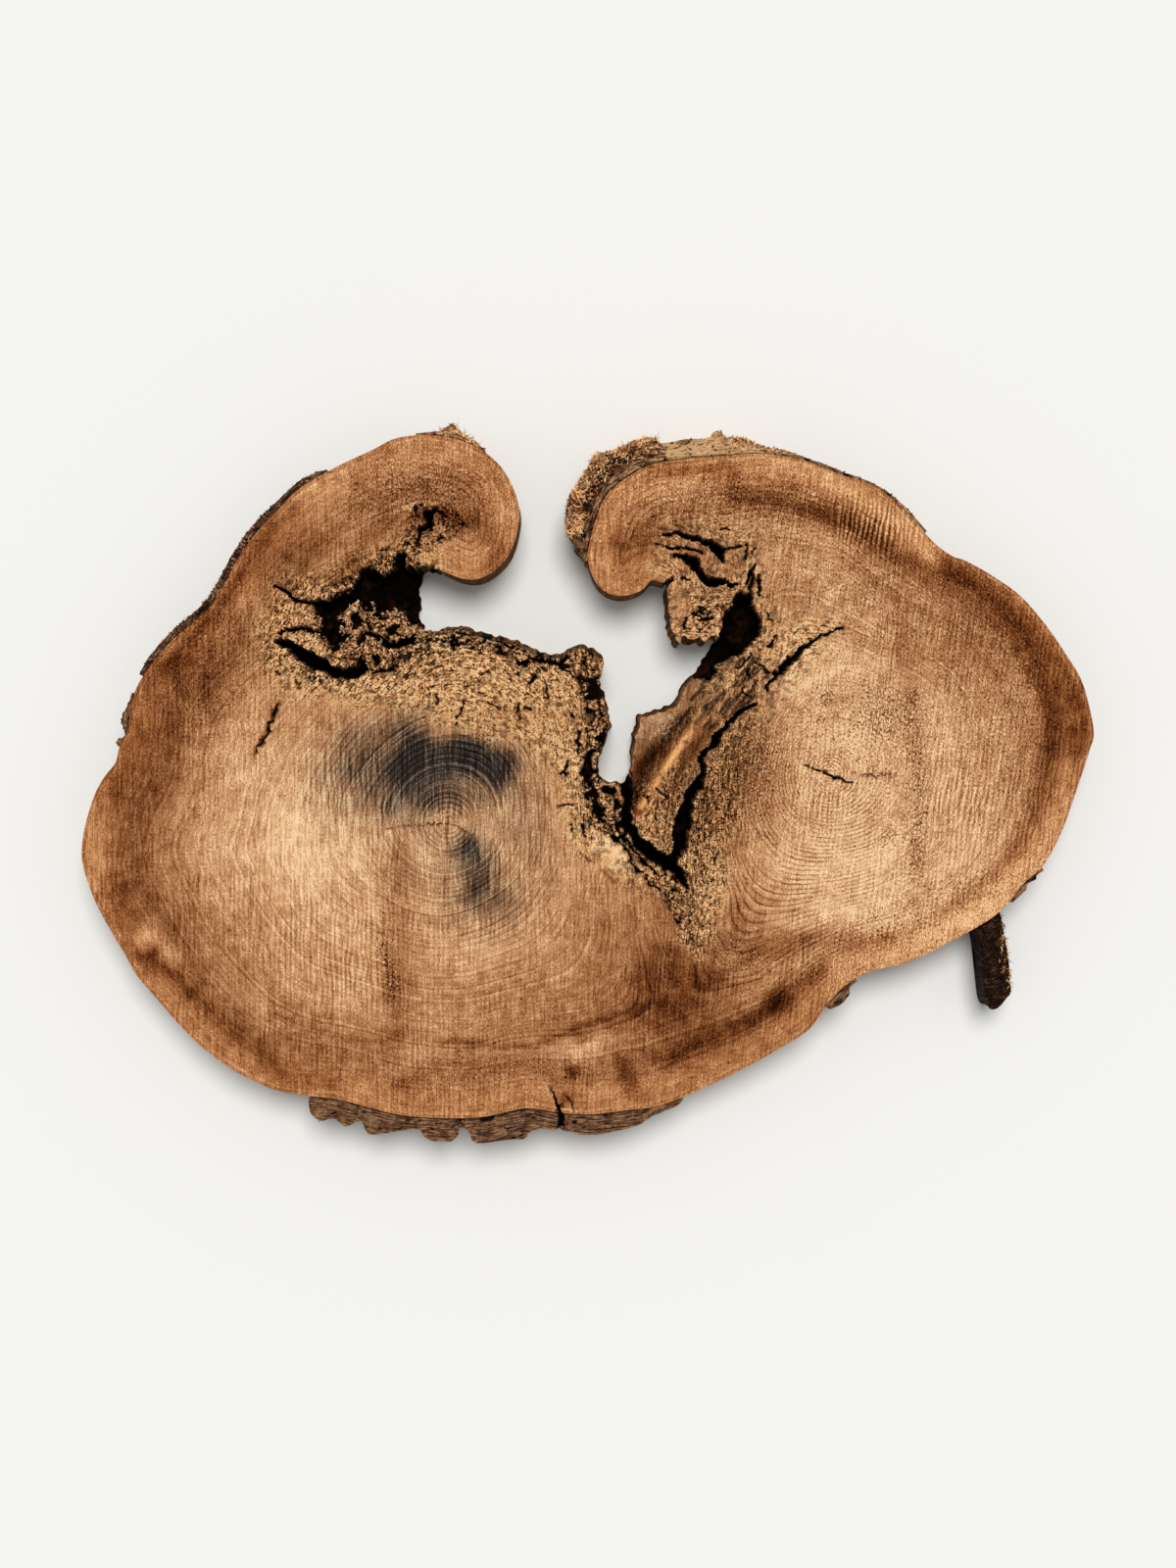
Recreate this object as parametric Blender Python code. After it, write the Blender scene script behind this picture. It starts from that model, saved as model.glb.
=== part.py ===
"""Walnut wood cookie: a thick slice sawn across a forked walnut trunk.

The slice lies on its sawn back, with its sawn face up. Its two lobes meet below
a rotten gap that is open at the top between two curled ends. Bark is left on
parts of the edge, and one strip of it has peeled away at the lower right.

Run it in Blender, or with: blender --background --python part.py
"""
from math import hypot

import bmesh
import bpy
from mathutils import Vector, noise
from mathutils.geometry import delaunay_2d_cdt

MM = 0.001

# Driving dimensions in millimetres
THICKNESS = 76.0
BARK_GAP = 0.3
EDGE_STEP = 7.0
ROT_STEP = 4.5
ROT_ROUGHNESS = 1.6
CUTTER_RISE = 4.0
CRACK_NARROWING = 0.6
BARK_LEVELS = 5
FURROW_DEPTH = 2.2
FURROW_PITCH = 11.0
PEELED_HEIGHT = 62.0

# The edge of the sawn face in millimetres, clockwise from the crown of the left curl
LEFT_CURL = [
    (-220, 345), (-195, 357), (-160, 360), (-120, 351), (-90, 329), (-73, 297), (-71, 269),
    (-82, 236), (-105, 216), (-125, 213), (-145, 220),
]
CAVITY_END = [
    (-155, 225), (-165, 225), (-175, 224), (-178, 214), (-181, 204), (-177, 192), (-180, 182),
    (-175, 172), (-171, 163),
]
LOWER_RIM = [
    (-160, 162), (-140, 161), (-120, 157), (-100, 152), (-80, 147), (-67, 142), (-55, 136),
    (-40, 132), (-25, 136), (-10, 142), (0, 139), (12, 134), (16, 126),
]
V_LEFT = [
    (12, 116), (12, 104), (15, 94), (18, 82), (20, 64), (18, 53), (10, 34), (9, 11), (20, 6),
    (36, 5),
]
RIGHT_WALL = [
    (44, 19), (47, 34), (50, 54), (55, 69), (62, 74), (70, 76), (88, 84), (95, 89), (100, 99),
    (105, 107), (112, 114), (120, 122), (122, 129), (128, 139), (130, 149),
]
HANGING_ROT = [
    (130, 154), (120, 151), (115, 154), (105, 151), (97, 154), (93, 149), (88, 155), (85, 164),
    (83, 174), (82, 189), (81, 204), (83, 213),
]
RIGHT_CURL = [
    (75, 210), (65, 212), (55, 202), (37, 196), (20, 199), (8, 210), (1, 227), (0, 242), (9, 277),
    (20, 300), (40, 317), (65, 330), (100, 336), (140, 339), (180, 341), (220, 334), (260, 319),
]
RIGHT_EDGE = [
    (280, 313), (300, 303), (322, 284), (343, 261), (358, 246), (373, 236), (385, 232), (410, 218),
    (440, 197), (465, 169), (488, 136), (505, 106), (516, 59), (512, 39), (504, 14), (488, -33),
    (477, -58), (463, -81), (445, -97), (430, -116), (410, -134), (370, -157), (345, -170),
    (320, -180), (300, -184), (280, -191), (260, -204), (242, -223), (234, -236), (220, -251),
    (190, -269),
]
LOWER_EDGE = [
    (165, -283), (135, -298), (100, -314), (70, -325), (40, -329), (5, -333), (-25, -332),
    (-50, -328), (-65, -327), (-80, -330), (-110, -336), (-150, -337), (-190, -334), (-220, -327),
    (-255, -318), (-287, -314), (-320, -308), (-340, -299), (-364, -287), (-387, -270),
]
LEFT_EDGE = [
    (-400, -259), (-422, -236), (-440, -215), (-460, -192), (-473, -169), (-485, -149),
    (-500, -122), (-509, -100), (-516, -76), (-516, -56), (-512, -34), (-503, -6), (-493, 12),
    (-482, 26), (-478, 42), (-470, 59), (-467, 79), (-462, 99), (-454, 114), (-440, 133),
    (-422, 153), (-405, 167), (-385, 186), (-372, 207), (-357, 234), (-338, 261), (-317, 283),
    (-295, 305), (-260, 326),
]

# Each stretch of the edge: points, whether rotten, and how far its foot on the back is shifted
EDGE_STRETCHES = (
    (LEFT_CURL, False, (0, 0)),
    (CAVITY_END, True, (3, 0)),
    (LOWER_RIM, True, (0, 9)),
    (V_LEFT, True, (3, 2)),
    (RIGHT_WALL, True, (-4, 4)),
    (HANGING_ROT, True, (-2, -2)),
    (RIGHT_CURL, False, (0, 0)),
    (RIGHT_EDGE, False, (0, 0)),
    (LOWER_EDGE, False, (0, 0)),
    (LEFT_EDGE, False, (0, 0)),
)

# Pockets in the sawn face: outline points with the depth below the face at each of them
LEFT_CAVITY = [
    (-160, 227, 66), (-175, 226, 66), (-184, 227, 60), (-187, 240, 45), (-196, 240, 45),
    (-200, 224, 50), (-208, 218, 50), (-222, 229, 45), (-234, 221, 40), (-242, 200, 36),
    (-249, 193, 34), (-243, 188, 36), (-233, 190, 40), (-230, 181, 44), (-222, 187, 48),
    (-215, 179, 50), (-205, 176, 54), (-198, 181, 56), (-187, 182, 60), (-190, 172, 60),
    (-180, 165, 64), (-160, 172, 66), (-150, 190, 66), (-150, 212, 66),
]
RIGHT_CAVITY = [
    (144, 187, 50), (148, 196, 46), (157, 200, 44), (167, 202, 40), (168, 186, 48), (176, 176, 44),
    (179, 164, 42), (176, 152, 44), (168, 149, 48), (162, 140, 50), (150, 134, 54), (138, 128, 58),
    (125, 112, 60), (106, 112, 66), (112, 128, 66), (118, 145, 66), (133, 156, 64), (138, 174, 58),
]
TONGUE_FLANK = [
    (162, 139, 5), (145, 114, 4), (135, 99, 3), (122, 82, 3), (113, 69, 3), (84, 26, 3),
    (52, -26, 4), (38, -16, 60), (38, 30, 60), (44, 60, 52), (52, 82, 46), (80, 92, 44),
    (96, 110, 46), (118, 134, 50), (140, 146, 40),
]

# Cracks in the sawn face: centreline points with the width at each of them, and the depth
CRACKS = {
    "cutter_rot_slit": (58, [
        (-318, 150, 6), (-303, 143, 12), (-285, 131, 15), (-265, 121, 14), (-248, 115, 10),
        (-234, 119, 10), (-222, 128, 3),
    ]),
    "cutter_rot_gap": (42, [
        (-275, 184, 7), (-265, 177, 14), (-260, 164, 12), (-258, 150, 13), (-247, 154, 6),
    ]),
    "cutter_upper_split": (34, [(-320, 206, 2), (-300, 194, 4), (-284, 189, 5), (-272, 191, 3)]),
    "cutter_rot_split": (30, [(-316, 158, 3), (-300, 163, 5), (-284, 161, 5), (-274, 157, 3)]),
    "cutter_rot_holes": (35, [
        (-236, 148, 6), (-228, 158, 7), (-214, 152, 8), (-202, 144, 8), (-190, 148, 11),
        (-178, 152, 7),
    ]),
    "cutter_left_spiral": (35, [
        (-176, 251, 3), (-172, 261, 6), (-163, 269, 9), (-164, 280, 8), (-155, 283, 4),
        (-145, 277, 2),
    ]),
    "cutter_v_tip": (64, [
        (20, 2, 20), (24, -10, 32), (40, -26, 22), (52, -46, 20), (62, -64, 16), (76, -80, 14),
        (92, -89, 7), (102, -101, 2),
    ]),
    "cutter_tongue_crack": (56, [
        (160, 80, 2), (147, 69, 7), (136, 56, 8), (124, 42, 9), (116, 29, 9), (117, 14, 8),
        (109, 2, 13), (106, -11, 18), (97, -23, 12), (95, -41, 18), (94, -54, 14), (89, -66, 12),
        (80, -80, 12),
    ]),
    "cutter_curl_crack": (36, [
        (78, 259, 2), (90, 260, 4), (105, 256, 5), (116, 252, 8), (126, 250, 6), (135, 242, 13),
        (137, 231, 4),
    ]),
    "cutter_curl_split": (20, [(78, 246, 2), (92, 245, 3), (107, 242, 3), (118, 239, 2)]),
    "cutter_curl_hollow": (45, [
        (89, 237, 3), (100, 234, 5), (108, 231, 10), (112, 223, 11), (117, 215, 9), (126, 211, 11),
        (136, 211, 7), (146, 209, 4), (153, 208, 2),
    ]),
    "cutter_curved_slit": (25, [(170, 229, 2), (164, 220, 4), (161, 211, 3)]),
    "cutter_straight_slit": (25, [(174, 214, 2), (175, 206, 3), (175, 198, 2)]),
    "cutter_lobe_crack": (30, [
        (257, 164, 2), (235, 152, 3), (220, 144, 6), (208, 129, 8), (195, 119, 6), (183, 101, 2),
    ]),
    "cutter_pith_check": (12, [(220, 23, 1), (245, 14, 3), (270, 6, 1)]),
}

# Outer edges of the bark, clockwise, in millimetres; the inner edge follows the wood
BARK_CURL_OUTER = [
    (-3, 231), (-14, 247), (-18, 256), (-21, 266), (-20, 294), (-12, 307), (-7, 316), (3, 332),
    (8, 341), (20, 343), (32, 347), (50, 355), (68, 358), (74, 352), (100, 356), (122, 357),
    (128, 363), (135, 364), (141, 358), (160, 357), (180, 348), (200, 345), (220, 338), (245, 329),
    (262, 322), (282, 315), (302, 305), (325, 286), (346, 262),
]
BARK_FLAKE_OUTER = [
    (465, -84), (458, -90), (458, -93), (449, -98), (447, -104), (441, -110), (433, -117),
]
BARK_CHIP_OUTER = [(275, -197), (267, -204), (267, -211), (258, -221), (247, -226)]
BARK_BASE_OUTER = [
    (97, -318), (90, -325), (68, -334), (58, -340), (50, -345), (25, -351), (10, -354), (-5, -354),
    (-18, -351), (-35, -349), (-50, -348), (-60, -352), (-65, -358), (-78, -359), (-100, -362),
    (-110, -363), (-118, -360), (-121, -352), (-127, -347), (-132, -348), (-134, -356),
    (-140, -361), (-150, -361), (-160, -360), (-168, -355), (-173, -348), (-190, -350),
    (-220, -354), (-227, -350), (-231, -341), (-238, -341), (-244, -345), (-250, -345),
    (-258, -338), (-265, -338), (-272, -340), (-280, -336), (-284, -330), (-285, -320),
]
BARK_NOTCH_OUTER = [
    (-480, 43), (-480, 49), (-474, 52), (-473, 58), (-476, 66), (-475, 74), (-470, 84), (-465, 97),
]
BARK_TUFT_OUTER = [
    (-176, 362), (-164, 363), (-152, 364), (-143, 369), (-138, 371), (-133, 365), (-122, 358),
    (-113, 351), (-105, 345),
]
BASE_SPLIT = [(-25, -342, 3), (-27, -347, 5), (-29, -356, 8)]

# The peeled strip below the lower right edge, from its root round its free end
PEELED_OUTLINE = [
    (422, -127), (425, -136), (427, -151), (430, -166), (432, -181), (433, -196), (434, -210),
    (430, -215), (425, -222), (418, -227), (413, -227), (409, -221), (407, -206), (406, -181),
    (403, -166), (400, -151), (400, -143),
]

RIM_BARK_START = (-454, 114)
RIM_BARK_END = (-266, 323)
RIM_BARK_THICKNESS = 4.5
RIM_BARK_SWELL = 2.0

WOOD_COLOR = (0.40, 0.215, 0.10)
BARK_COLOR = (0.085, 0.047, 0.028)
FIBRE_BARK_COLOR = (0.19, 0.10, 0.052)


def clear_scene():
    """Remove every object of the scene, so that the part is all it holds."""
    for obj in list(bpy.data.objects):
        bpy.data.objects.remove(obj, do_unlink=True)


def matte_material(name, color, roughness):
    """Return a plain Principled material of one colour."""
    material = bpy.data.materials.new(name)
    material.use_nodes = True
    shader = material.node_tree.nodes["Principled BSDF"]
    shader.inputs["Base Color"].default_value = (*color, 1.0)
    shader.inputs["Roughness"].default_value = roughness
    shader.inputs["Metallic"].default_value = 0.0
    material.diffuse_color = (*color, 1.0)
    return material


def spline_point(before, start, end, after, t):
    """Return the point at t between start and end on a Catmull-Rom curve."""
    return 0.5 * (
        2.0 * start
        + (end - before) * t
        + (2.0 * before - 5.0 * start + 4.0 * end - after) * t * t
        + (3.0 * start - before - 3.0 * end + after) * t * t * t
    )


def fine_path(points, step, roughness):
    """Run a smooth curve through open points and roughen it sideways.

    The first and the last point only steer the curve's direction at its ends.
    """
    path = []
    for i in range(1, len(points) - 2):
        before, start, end, after = points[i - 1:i + 3]
        count = max(1, round((end - start).length / step))
        for k in range(count):
            point = spline_point(before, start, end, after, k / count)
            if roughness:
                side = Vector((start.y - end.y, end.x - start.x)).normalized()
                sample = Vector((point.x / 6.0, point.y / 6.0, 3.7))
                point = point + side * noise.noise(sample) * roughness * 2.0
            path.append(point)
    return path


def slab_edges():
    """Return the edge of the sawn face and of the back as two matching loops."""
    front, back = [], []
    steering = [Vector(point) for points, _, _ in EDGE_STRETCHES for point in points]
    total = len(steering)
    start = 0
    for points, rotten, shift in EDGE_STRETCHES:
        span = [steering[(start - 1 + k) % total] for k in range(len(points) + 3)]
        step = ROT_STEP if rotten else EDGE_STEP
        path = fine_path(span, step, ROT_ROUGHNESS if rotten else 0.0)
        for index, point in enumerate(path):
            ends = min(index, len(path) - index) / 4.0
            front.append(point)
            back.append(point + Vector(shift) * min(1.0, ends))
        start += len(points)
    return front, back


def flat_cap(build, ring, loop, upwards):
    """Close a ring of vertices with triangles, worked out flat from its loop of points."""
    flat = [Vector((p.x, p.y)) for p in loop]
    inside_only = 1
    faces = delaunay_2d_cdt(flat, [], [list(range(len(flat)))], inside_only, 1e-5)[2]
    for corners in faces:
        first, second, third = (ring[i] for i in corners)
        rising = (second.co - first.co).cross(third.co - first.co).z > 0.0
        build.faces.new((first, second, third) if rising == upwards else (first, third, second))


def loft(name, levels, heights, material):
    """Build a closed solid through matching loops of points, one for each height.

    The loops run clockwise as seen from above.
    """
    mesh = bpy.data.meshes.new(name)
    build = bmesh.new()
    rings = [
        [build.verts.new((p.x * MM, p.y * MM, z * MM)) for p in loop]
        for loop, z in zip(levels, heights)
    ]
    count = len(rings[0])
    for lower, upper in zip(rings, rings[1:]):
        for i in range(count):
            j = (i + 1) % count
            build.faces.new((lower[j], lower[i], upper[i], upper[j]))
    flat_cap(build, rings[0], levels[0], False)
    flat_cap(build, rings[-1], levels[-1], True)
    bmesh.ops.recalc_face_normals(build, faces=build.faces)
    build.to_mesh(mesh)
    build.free()
    obj = bpy.data.objects.new(name, mesh)
    bpy.context.scene.collection.objects.link(obj)
    mesh.materials.append(material)
    mesh.shade_smooth()
    mesh.set_sharp_from_angle(angle=0.6)
    return obj


def pocket_solid(name, rim, material):
    """Build a cutter from rim points (x, y, depth), upright above the sawn face."""
    mesh = bpy.data.meshes.new(name)
    build = bmesh.new()
    top = [build.verts.new((x * MM, y * MM, (THICKNESS + CUTTER_RISE) * MM)) for x, y, _ in rim]
    floor = [build.verts.new((x * MM, y * MM, (THICKNESS - depth) * MM)) for x, y, depth in rim]
    count = len(rim)
    for i in range(count):
        j = (i + 1) % count
        build.faces.new((floor[i], floor[j], top[j], top[i]))
    outline = [Vector((x, y)) for x, y, _ in rim]
    flat_cap(build, top, outline, True)
    flat_cap(build, floor, outline, False)
    bmesh.ops.recalc_face_normals(build, faces=build.faces)
    build.to_mesh(mesh)
    build.free()
    return as_cutter(name, mesh, material)


def crack_solid(name, centreline, depth, material):
    """Build a cutter that narrows downwards from centreline points (x, y, width)."""
    points = [Vector((x, y)) for x, y, _ in centreline]
    left, right = [], []
    for i, (_, _, width) in enumerate(centreline):
        ahead = points[min(i + 1, len(points) - 1)] - points[max(i - 1, 0)]
        side = Vector((-ahead.y, ahead.x)).normalized() * width / 2.0
        left.append((points[i], side))
        right.append((points[i], -side))
    rim = left + list(reversed(right))
    mesh = bpy.data.meshes.new(name)
    build = bmesh.new()
    top_z = (THICKNESS + CUTTER_RISE) * MM
    floor_z = (THICKNESS - depth) * MM
    top = [build.verts.new(((p + s) * MM).to_3d() + Vector((0, 0, top_z))) for p, s in rim]
    floor = [
        build.verts.new(((p + s * CRACK_NARROWING) * MM).to_3d() + Vector((0, 0, floor_z)))
        for p, s in rim
    ]
    count = len(rim)
    for i in range(count):
        j = (i + 1) % count
        build.faces.new((floor[i], floor[j], top[j], top[i]))
    flat_cap(build, top, [p + s for p, s in rim], True)
    flat_cap(build, floor, [p + s * CRACK_NARROWING for p, s in rim], False)
    bmesh.ops.recalc_face_normals(build, faces=build.faces)
    build.to_mesh(mesh)
    build.free()
    return as_cutter(name, mesh, material)


def as_cutter(name, mesh, material):
    """Link a mesh as a hidden cutter object."""
    mesh.materials.append(material)
    cutter = bpy.data.objects.new(name, mesh)
    bpy.context.scene.collection.objects.link(cutter)
    cutter.hide_render = True
    cutter.display_type = "WIRE"
    return cutter


def cut(target, cutter):
    """Take a cutter's volume out of the target with a live Boolean."""
    boolean = target.modifiers.new(cutter.name, "BOOLEAN")
    boolean.operation = "DIFFERENCE"
    boolean.solver = "EXACT"
    boolean.object = cutter


def wood_slab(front, back, wood):
    """The slice itself: two lobes, two curled ends and the rotten gap between them."""
    slab = loft("wood_slab", [back, front], [0.0, THICKNESS], wood)
    cutters = [
        pocket_solid("cutter_left_cavity", LEFT_CAVITY, wood),
        pocket_solid("cutter_right_cavity", RIGHT_CAVITY, wood),
        pocket_solid("cutter_tongue_flank", TONGUE_FLANK, wood),
    ]
    cutters += [crack_solid(name, line, depth, wood) for name, (depth, line) in CRACKS.items()]
    for cutter in cutters:
        cut(slab, cutter)
    return slab, cutters


def nearest_index(loop, target):
    """Return the index of the loop's point nearest to the target."""
    return min(range(len(loop)), key=lambda i: hypot(loop[i].x - target.x, loop[i].y - target.y))


def wood_side(edge, first, last):
    """Follow the wood clockwise from first to last, standing off by the bark gap.

    first and last are points near the edge. Returns the path and its outward normals.
    """
    count = len(edge)
    start = nearest_index(edge, first)
    length = (nearest_index(edge, last) - start) % count
    path, normals = [], []
    for k in range(length + 1):
        i = (start + k) % count
        ahead = edge[(i + 1) % count] - edge[i - 1]
        outward = Vector((-ahead.y, ahead.x)).normalized()
        path.append(edge[i] + outward * BARK_GAP)
        normals.append(outward)
    return path, normals


def furrowed(path, seed):
    """Return the outer path at every bark level, pushed in where a furrow runs."""
    levels = []
    for level in range(BARK_LEVELS + 1):
        height = THICKNESS * level / BARK_LEVELS
        loop = []
        for i, point in enumerate(path):
            ahead = path[min(i + 1, len(path) - 1)] - path[max(i - 1, 0)]
            outward = Vector((-ahead.y, ahead.x)).normalized()
            place = Vector((point.x / FURROW_PITCH, point.y / FURROW_PITCH, height / 40.0 + seed))
            swing = noise.noise(place)
            inside = 0.0 if i in (0, len(path) - 1) else FURROW_DEPTH * swing
            loop.append(point + outward * min(inside, 0.0 if level == BARK_LEVELS else inside))
        levels.append(loop)
    return levels


def bark_strip(name, edge, outer, material, seed):
    """A strip of bark between the wood and its hand-placed outer edge."""
    ends = [2.0 * outer[0] - outer[1]] + outer + [2.0 * outer[-1] - outer[-2]]
    outer_path = fine_path(ends, EDGE_STEP * 0.8, 0.0) + [outer[-1]]
    inner_path, _ = wood_side(edge, outer[0], outer[-1])
    outer_levels = furrowed(outer_path, seed)
    loops = [level + list(reversed(inner_path)) for level in outer_levels]
    heights = [THICKNESS * level / BARK_LEVELS for level in range(BARK_LEVELS + 1)]
    return loft(name, loops, heights, material)


def rim_bark(edge, material):
    """The thin bark that is left along the upper left edge."""
    path, normals = wood_side(edge, Vector(RIM_BARK_START), Vector(RIM_BARK_END))
    outer = []
    for i, (point, outward) in enumerate(zip(path, normals)):
        ends = min(1.0, (min(i, len(path) - 1 - i) + 0.7) / 4.0)
        swell = RIM_BARK_SWELL * noise.noise(Vector((point.x / 16.0, point.y / 16.0, 9.1)))
        outer.append(point + outward * (RIM_BARK_THICKNESS + swell) * ends)
    return bark_strip("bark_rim_left", edge, outer, material, 5.0)


def bark_base(edge, material):
    """The thick bark under the lower edge, split once by a crack."""
    outer = [Vector(p) for p in BARK_BASE_OUTER]
    base = bark_strip("bark_base", edge, outer, material, 1.0)
    splitter = crack_solid("cutter_base_split", BASE_SPLIT, THICKNESS * 0.8, material)
    cut(base, splitter)
    return base, splitter


def peeled_strip(edge, material):
    """The strip of bark that has come away and stands off the lower right edge."""
    free_side = [Vector(p) for p in PEELED_OUTLINE]
    ends = [2.0 * free_side[0] - free_side[1]] + free_side + [2.0 * free_side[-1] - free_side[-2]]
    outer_path = fine_path(ends, EDGE_STEP, 0.0) + [free_side[-1]]
    inner_path, _ = wood_side(edge, free_side[0], free_side[-1])
    loops = [level + list(reversed(inner_path)) for level in furrowed(outer_path, 2.0)]
    heights = [PEELED_HEIGHT * level / BARK_LEVELS for level in range(BARK_LEVELS + 1)]
    return loft("peeled_bark_strip", loops, heights, material)


def centre_on_floor(objects):
    """Hang all objects on an empty that puts their box's middle over the origin."""
    bpy.context.view_layer.update()
    solids = [obj for obj in objects if not obj.hide_render]
    corners = [obj.matrix_world @ Vector(corner) for obj in solids for corner in obj.bound_box]
    xs = [corner.x for corner in corners]
    ys = [corner.y for corner in corners]
    root = bpy.data.objects.new("cookie_root", None)
    bpy.context.scene.collection.objects.link(root)
    for obj in objects:
        obj.parent = root
    root.location = (-(min(xs) + max(xs)) / 2.0, -(min(ys) + max(ys)) / 2.0, 0.0)


def main():
    """Build the slice, its bark and the peeled strip."""
    clear_scene()
    wood = matte_material("walnut_wood", WOOD_COLOR, 0.75)
    bark = matte_material("walnut_bark", BARK_COLOR, 0.9)
    fibre_bark = matte_material("fibrous_bark", FIBRE_BARK_COLOR, 0.9)

    front, back = slab_edges()
    slab, cutters = wood_slab(front, back, wood)
    base, splitter = bark_base(front, bark)
    curl_outer = [Vector(p) for p in BARK_CURL_OUTER]
    notch_outer = [Vector(p) for p in BARK_NOTCH_OUTER]
    flake_outer = [Vector(p) for p in BARK_FLAKE_OUTER]
    chip_outer = [Vector(p) for p in BARK_CHIP_OUTER]
    tuft_outer = [Vector(p) for p in BARK_TUFT_OUTER]
    objects = [slab, base, splitter, *cutters]
    objects.append(bark_strip("bark_crown_right", front, curl_outer, fibre_bark, 3.0))
    objects.append(bark_strip("bark_tuft_left", front, tuft_outer, fibre_bark, 8.0))
    objects.append(bark_strip("bark_notch_left", front, notch_outer, bark, 4.0))
    objects.append(bark_strip("bark_flake_right", front, flake_outer, bark, 6.0))
    objects.append(bark_strip("bark_chip_right", front, chip_outer, bark, 7.0))
    objects.append(rim_bark(front, bark))
    objects.append(peeled_strip(front, bark))
    centre_on_floor(objects)


main()
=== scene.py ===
"""Looks of the walnut wood cookie: a thick slice sawn across a forked walnut trunk.

The slice lies on its sawn back. Its sawn face carries growth rings round two piths, saw
marks, a dark stain and a rotten gap that is open between two curled ends. Bark is left on
parts of its edge. Positions in plan are millimetres on the sawn face, x to the right and y
up as the camera sees them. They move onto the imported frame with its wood_slab node.
"""
from __future__ import annotations

import logging
from dataclasses import dataclass, field
from enum import Enum
from functools import reduce

import bmesh
import bpy
import numpy as np
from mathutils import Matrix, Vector, kdtree, noise
from mathutils.geometry import delaunay_2d_cdt

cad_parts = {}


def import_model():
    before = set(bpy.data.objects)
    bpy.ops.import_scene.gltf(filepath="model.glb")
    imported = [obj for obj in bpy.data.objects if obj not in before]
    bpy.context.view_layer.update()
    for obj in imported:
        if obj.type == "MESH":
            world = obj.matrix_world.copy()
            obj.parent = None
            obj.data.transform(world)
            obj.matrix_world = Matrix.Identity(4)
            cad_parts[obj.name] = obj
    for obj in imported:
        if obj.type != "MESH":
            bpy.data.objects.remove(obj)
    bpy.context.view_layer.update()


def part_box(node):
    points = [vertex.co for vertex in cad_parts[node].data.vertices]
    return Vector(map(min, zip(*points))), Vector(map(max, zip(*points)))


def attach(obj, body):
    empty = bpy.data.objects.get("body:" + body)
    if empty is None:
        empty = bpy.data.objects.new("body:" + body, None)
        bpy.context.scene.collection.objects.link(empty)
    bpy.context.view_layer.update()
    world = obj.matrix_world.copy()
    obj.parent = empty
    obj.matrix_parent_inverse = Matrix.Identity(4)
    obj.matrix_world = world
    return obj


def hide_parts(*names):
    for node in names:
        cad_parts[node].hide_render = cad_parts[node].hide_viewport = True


log = logging.getLogger("walnut_cookie")

MM = 0.001
THICKNESS = 76.0
LEFT_PITH = (-142.0, -36.0)
RIGHT_PITH = (247.0, 14.0)
TINY = 1e-6
FULL_TURN = 6.2832
# How a cell of the lattice noise is mixed into a number of 32 bits
WORD = 0xFFFFFFFF
SEED_FACTOR = 2654435761
SALT_FACTOR = 97531
AXIS_FACTORS = (73856093, 19349663, 83492791)
HASH_ROUNDS = ((15, 2246822519), (13, 3266489917))
# How much finer and weaker each further layer of noise is
FINER = 2.1
FADE = 1.8

# An array of points has one row for each of them
Array = np.ndarray
Mesh = bpy.types.Mesh
Piece = bpy.types.Object
Material = bpy.types.Material
Socket = bpy.types.NodeSocket
Feed = Socket | float | tuple
Place = tuple[float, float]
Triple = tuple[float, float, float]
Colour = tuple[float, float, float]
Path = tuple[Place, ...]
Trace = tuple[Triple, ...]
Stops = tuple[tuple[float, Colour], ...]


def smooth(value: Array) -> Array:
    """Ease values from 0 to 1 and hold them there."""
    held = np.clip(value, 0.0, 1.0)
    return held * held * (3.0 - 2.0 * held)


def pairs(*numbers: float) -> Path:
    """Group numbers in twos, as places in plan."""
    return tuple(zip(numbers[::2], numbers[1::2]))


def triples(*numbers: float) -> Trace:
    """Group numbers in threes, as places in plan with a depth or a width."""
    return tuple(zip(numbers[::3], numbers[1::3], numbers[2::3]))


def turned(places: Array, angle: float) -> Array:
    """Turn places clockwise round the middle of the plan."""
    cosine, sine = np.cos(angle), np.sin(angle)
    return places @ np.array([[cosine, -sine], [sine, cosine]])


def sideways(ahead: Array) -> Array:
    """Turn directions a quarter to the left and give them length 1."""
    side = np.column_stack([-ahead[:, 1], ahead[:, 0]])
    return side / np.maximum(np.hypot(*side.T), TINY)[:, None]


def run_along(path: Array) -> Array:
    """Measure how far along an open path each of its points lies."""
    return np.concatenate([[0.0], np.cumsum(np.hypot(*np.diff(path, axis=0).T))])


def near_to(places: Array, corners: Array, reach: float) -> Array:
    """Tell which places lie within reach of the box round some corners."""
    return ((places > corners.min(0) - reach) & (places < corners.max(0) + reach)).all(1)


def path_distance(places: Array, path: Array) -> tuple[Array, Array]:
    """Measure how far places lie from an open path.

    Args:
        places: Points in plan.
        path: Corner points of the path, one row each.

    Returns:
        The distance of each place, and where on the path its nearest point lies, as a
        corner number with a fraction.
    """
    best = np.full(len(places), np.inf)
    along = np.zeros(len(places))
    for i, (start, end) in enumerate(zip(path[:-1], path[1:])):
        step = end - start
        share = np.clip((places - start) @ step / max(step @ step, 1e-9), 0.0, 1.0)
        away = places - start - share[:, None] * step
        distance = np.hypot(away[:, 0], away[:, 1])
        closer = distance < best
        best[closer] = distance[closer]
        along[closer] = i + share[closer]
    return best, along


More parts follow.
